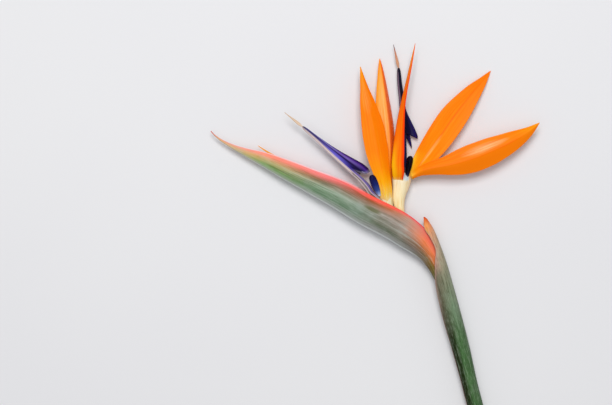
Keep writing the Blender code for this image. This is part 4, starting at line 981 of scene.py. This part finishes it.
def tongue(name, node, points, roll, notch, near, far, material, claw, crease=True, blunt=False):
    """The two fused petals: a claw with a channel, and two wings that trail behind as barbs."""
    spine = curve_through(points)
    radius = profile((0, 1.5), (0.06, 1.8), (0.13, claw), (0.19, claw), (0.28, 1.7),
                     (notch, 1.7), (0.75, 1.55), (0.93, 1.25), (0.975, 1.0), (0.992, 0.7), (1, 0.4))
    claw_t = np.linspace(0, notch - 0.012, 34)
    lobe_t = np.concatenate([notch + np.array([-0.0085, -0.007, -0.005, -0.0025]),
                             notch + (1 - notch) * stations(120, 1.2)])
    tip_t = np.array([])
    shares = np.concatenate([claw_t, lobe_t, tip_t])
    c, tan, up, side = frames(spine, shares, np.full(len(shares), roll))
    rings, values = [], []
    for i, t in enumerate(shares):
        r = float(radius(t))
        wall = min(0.5, 0.34 * r)
        start = 1.0
        if t < notch - 0.0095:
            wings = ((0.02, 30.0, 0.0), (0.02, 30.0, 0.0))
        else:
            u = max(0.0, (t - notch) / (1 - notch))
            start = 1.0 if t >= notch else math.sqrt(max(0.02, 1 - ((notch - t) / 0.0095) ** 2))
            short = 1 - 0.10 * math.exp(-u / 0.018)
            wings = (tuple(float(f(u)) for f in near), tuple(float(f(u)) for f in far))
            wings = tuple((a * short, b, d) for a, b, d in wings)
        lip = math.radians(140)
        root_out, root_in = math.radians(80), math.radians(34)
        halves = []
        for (reach, spread, sweep) in wings:
            d = math.radians(spread)
            w = 0.25 * start
            half = []
            for a in np.linspace(lip, root_out, 6):
                half.append((r * math.cos(a), r * math.sin(a), 0.0, 0.0, 0.0,
                             1.0 if a > math.radians(126) else 0.0))
            ix, iy = r * math.cos(root_in), r * math.sin(root_in)
            rx, ry = r * math.cos(root_out), r * math.sin(root_out)
            nx, ny = -math.sin(d), math.cos(d)
            thin = min(w, 0.2 * reach + 0.02)
            steps = (0.18, 0.32, 0.42, 0.52, 0.64, 0.78, 0.90, 0.975)
            for kk in steps:
                x = ix + reach * kk * math.cos(d)
                y = iy + reach * kk * math.sin(d)
                blend = 1 - kk
                hump = 0.0
                if crease:
                    hump = min(1.0, reach / 4.0) * (0.42 * math.exp(-((kk - 0.70) / 0.14) ** 2)
                                                   - 0.24 * math.exp(-((kk - 0.42) / 0.09) ** 2))
                e = thin * (1.0 if kk < 0.9 else 0.75)
                half.append((x + nx * (e + hump) + (rx - ix) * blend * 0.35,
                             y + ny * (e + hump) + max(0, ry - iy) * blend * 0.35,
                             sweep * (1 - (1 - kk) ** 3 if blunt else kk ** 1.15), kk, 0.0, 0.0))
            half.append((ix + reach * math.cos(d), iy + reach * math.sin(d), sweep, 1.0, 0.0, 0.0))
            for kk in steps[::-1]:
                x = ix + reach * kk * math.cos(d)
                y = iy + reach * kk * math.sin(d)
                hump = 0.0
                if crease:
                    hump = min(1.0, reach / 4.0) * (0.40 * math.exp(-((kk - 0.70) / 0.14) ** 2)
                                                   - 0.22 * math.exp(-((kk - 0.42) / 0.09) ** 2))
                e = thin * (1.0 if kk < 0.9 else 0.75)
                half.append((x - nx * (e - hump), y - ny * (e - hump), sweep * (1 - (1 - kk) ** 3 if blunt else kk ** 1.15), kk, 0.0, 0.0))
            half.append((ix, iy, 0.0, 0.05, 0.0, 0.0))
            halves.append(half)
        pts, marks = [], []
        for x, y, b, kk, g, l in halves[0]:
            pts.append(c[i] + side[i] * x + up[i] * y - tan[i] * b)
            marks.append((kk, g, l, (math.atan2(y, x) / math.pi + 1) / 2))
        pts.append(c[i] + side[i] * r)
        marks.append((0.02, 0, 0, 0.5))
        for x, y, b, kk, g, l in halves[1][::-1]:
            pts.append(c[i] + side[i] * x - up[i] * y - tan[i] * b)
            marks.append((kk, g, l, (math.atan2(-y, x) / math.pi + 1) / 2))
        ri = r - wall
        for a in np.linspace(-lip, lip, 11):
            pts.append(c[i] + side[i] * (ri * math.cos(a)) + up[i] * (ri * math.sin(a)))
            marks.append((0, 1, 1.0 if abs(a) > math.radians(130) else 0.0, 0.5))
        p, q = resample_closed(np.array(pts), np.array(marks), 0)
        rings.append(p)
        values.append(q)
    rings, values = np.array(rings), np.array(values)
    rings[:, :, 2] = np.maximum(rings[:, :, 2], 0.12)
    U = np.broadcast_to(shares[:, None], rings.shape[:2])
    obj = grid_mesh(name, rings, {"u": U, "wing": values[..., 0], "groove": np.clip(values[..., 1], 0, 1),
                                  "lip": np.clip(values[..., 2], 0, 1), "ring": values[..., 3]}, cap="fan", sharp=60)
    finish_piece(obj, material, node)
    return spine, radius


def style_and_stamens(prefix, spine, radius, roll, stigma, style_mat, pollen, bend=0.0):
    def inside(shift, lo, hi, n):
        t = np.linspace(lo, hi, n)
        c, tan, nn, s = frames(spine, t, np.full(n, roll))
        return list(c + s * (shift * radius(t))[:, None])

    tip, away = spine(np.array([1.0]))[0], np.array(stigma)
    path = inside(0.22, 0.03, 0.995, 9)
    path += [tip + away * 0.08, tip + away * 0.5, tip + away]
    run = curve_through(path).length
    out_at = 1 - float(np.linalg.norm(away)) / run
    rod(prefix + "_style_skin", path,
        profile((0, 0.24), (out_at - 0.02, 0.22), (out_at + 0.012, 0.66), (out_at + 0.035, 0.98),
                (out_at + 0.07, 0.85), (0.95, 0.42), (1, 0.16)),
        style_mat, nt=240, sides=18, node=prefix + "_style", ribs=3, rib_h=0.14, seed=41)
    rod(prefix + "_stamens_skin", inside(-0.42, 0.36, 0.955, 9),
        profile((0, 0.32), (0.1, 0.66), (0.8, 0.50), (1, 0.24)), pollen, nt=140, sides=22,
        node=prefix + "_stamens", ribs=5, rib_h=0.10, lump=0.05, seed=42)


def make_tongues():
    pollen = pollen_material()
    blue_a = tongue_material("tongue_a_petal")
    spine, radius = tongue(
        "flower_a_tongue_skin", "flower_a_tongue",
        [(51.4, 1.8, 8.8), (48.7, 4.0, 9.3), (45.0, 7.4, 10.1), (42.5, 11.2, 10.7), (38.6, 15.7, 11.2),
         (32.3, 21.4, 11.5), (19.6, 32.8, 11.2), (6.9, 44.6, 10.6), (-2.6, 52.7, 9.9)],
        40.0, 0.385,
        (profile((0, 7.9), (0.1, 7.7), (0.2, 6.6), (0.4, 3.9), (0.6, 1.7), (0.8, 0.5), (1, 0.3)),
         profile((0, 26), (1, 22)),
         profile((0, 9.4), (0.2, 7.4), (0.4, 4.8), (0.6, 2.5), (0.8, 1.0), (1, 0.2))),
        (profile((0, 5.6), (0.2, 5.0), (0.4, 3.2), (0.6, 1.5), (0.8, 0.5), (1, 0.3)),
         profile((0, 16), (1, 18)),
         profile((0, 5.6), (0.2, 5.0), (0.4, 4.0), (0.6, 2.3), (0.8, 1.0), (1, 0.2))),
        blue_a, 2.1, blunt=True)
    style_a = style_material("style_a", [(0.0, (228, 214, 200)), (0.80, (226, 206, 190)), (0.86, (220, 190, 160)),
                                         (1.0, (206, 172, 140))])
    style_and_stamens("flower_a", spine, radius, 40.0, (-12.4, 10.0, 0.3), style_a, pollen)

    blue_b = tongue_material("tongue_b_petal", dark=True)
    spine, radius = tongue(
        "flower_b_tongue_skin", "flower_b_tongue",
        [(69.2, 17.8, 7.0), (68.9, 24.2, 6.9), (68.6, 33.3, 6.8), (68.3, 43.8, 6.6), (67.9, 54.3, 6.3),
         (67.0, 64.8, 5.9), (66.1, 74.6, 5.6), (65.2, 83.0, 5.4), (64.5, 94.0, 5.2)],
        35.0, 0.41,
        (profile((0, 9.4), (0.1, 6.8), (0.2, 4.3), (0.3, 2.1), (0.4, 1.0), (0.7, 0.5), (1, 0.3)),
         profile((0, 16), (1, 20)),
         profile((0, 4.4), (0.1, 3.0), (0.2, 2.0), (0.3, 1.1), (0.6, 0.5), (1, 0.2))),
        (profile((0, 6.6), (0.1, 4.2), (0.2, 3.0), (0.3, 1.7), (0.4, 1.0), (0.7, 0.5), (1, 0.3)),
         profile((0, 0), (1, 10)),
         profile((0, 11.0), (0.1, 5.0), (0.2, 2.4), (0.3, 1.2), (0.6, 0.5), (1, 0.2))),
        blue_b, 1.7)
    style_b = style_material("style_b", [(0.0, (96, 74, 96)), (0.72, (104, 78, 100)), (0.80, (204, 160, 130)), (0.86, (206, 146, 108)),
                                         (0.94, (196, 120, 84)), (0.975, (110, 40, 40)), (1.0, (60, 22, 34))])
    style_and_stamens("flower_b", spine, radius, 35.0, (-3.5, 16.2, 0.3), style_b,
                      pollen_material("pollen_b", dark=True))


# ------------------------------------------------------------ floor and light


def make_stage():
    mesh = bpy.data.meshes.new("floor")
    n, half = 2, 3.0
    mesh.from_pydata([(-half, -half, 0), (half, -half, 0), (half, half, 0), (-half, half, 0)], [], [(0, 1, 2, 3)])
    floor = bpy.data.objects.new("floor", mesh)
    floor.location = (0, 0, -0.0002)
    bpy.context.scene.collection.objects.link(floor)
    m = Mat("floor_paper")
    soft = m.noise(m.where(), 3.0, 2.0, 0.5)
    fine = m.noise(m.where(), 900.0, 3.0, 0.6)
    col = m.mix(m.remap(soft, 0.3, 0.7, 0.0, 1.0), (228, 228, 231), (231, 231, 233))
    floor.data.materials.append(m.done(col, 0.85, m.bump(fine, 0.08, 0.0001), Specular_IOR_Level=0.15))

    def area(name, place, target, size, energy, colour):
        light = bpy.data.lights.new(name, "AREA")
        light.shape = "RECTANGLE"
        light.size, light.size_y = size
        light.energy = energy
        light.color = colour
        obj = bpy.data.objects.new(name, light)
        bpy.context.scene.collection.objects.link(obj)
        obj.location = place
        from mathutils import Vector
        obj.rotation_euler = (Vector(target) - Vector(place)).to_track_quat("-Z", "Y").to_euler()

    cx, cy = float(SHIFT[0]) * MM, float(SHIFT[1]) * MM
    area("key", (cx + 0.04, cy + 0.58, 1.42), (cx, cy - 0.02, 0.0), (0.65, 0.65), 14.6, (1.0, 0.995, 0.985))
    area("fill", (cx - 0.2, cy - 0.3, 1.9), (cx, cy, 0.0), (1.4, 1.4), 5.6, (0.975, 0.985, 1.0))
    world = bpy.data.worlds.new("studio")
    world.use_nodes = True
    bg = world.node_tree.nodes["Background"]
    bg.inputs[0].default_value = (0.98, 0.985, 1.0, 1)
    bg.inputs[1].default_value = 0.36
    bpy.context.scene.world = world
    bpy.context.scene.view_settings.view_transform = "Standard"

    cam = bpy.data.cameras.new("camera")
    cam.lens = 150.0
    cam.sensor_width = 36.0
    cam.clip_end = 20.0
    obj = bpy.data.objects.new("camera", cam)
    obj.location = (cx, cy, 1.785)
    obj.rotation_euler = (0, 0, 0)
    bpy.context.scene.collection.objects.link(obj)
    bpy.context.scene.camera = obj


make_stage()
make_peduncle()
make_sheath()
make_spathe()
make_inside()
make_flower_a()
make_flower_b()
make_tongues()
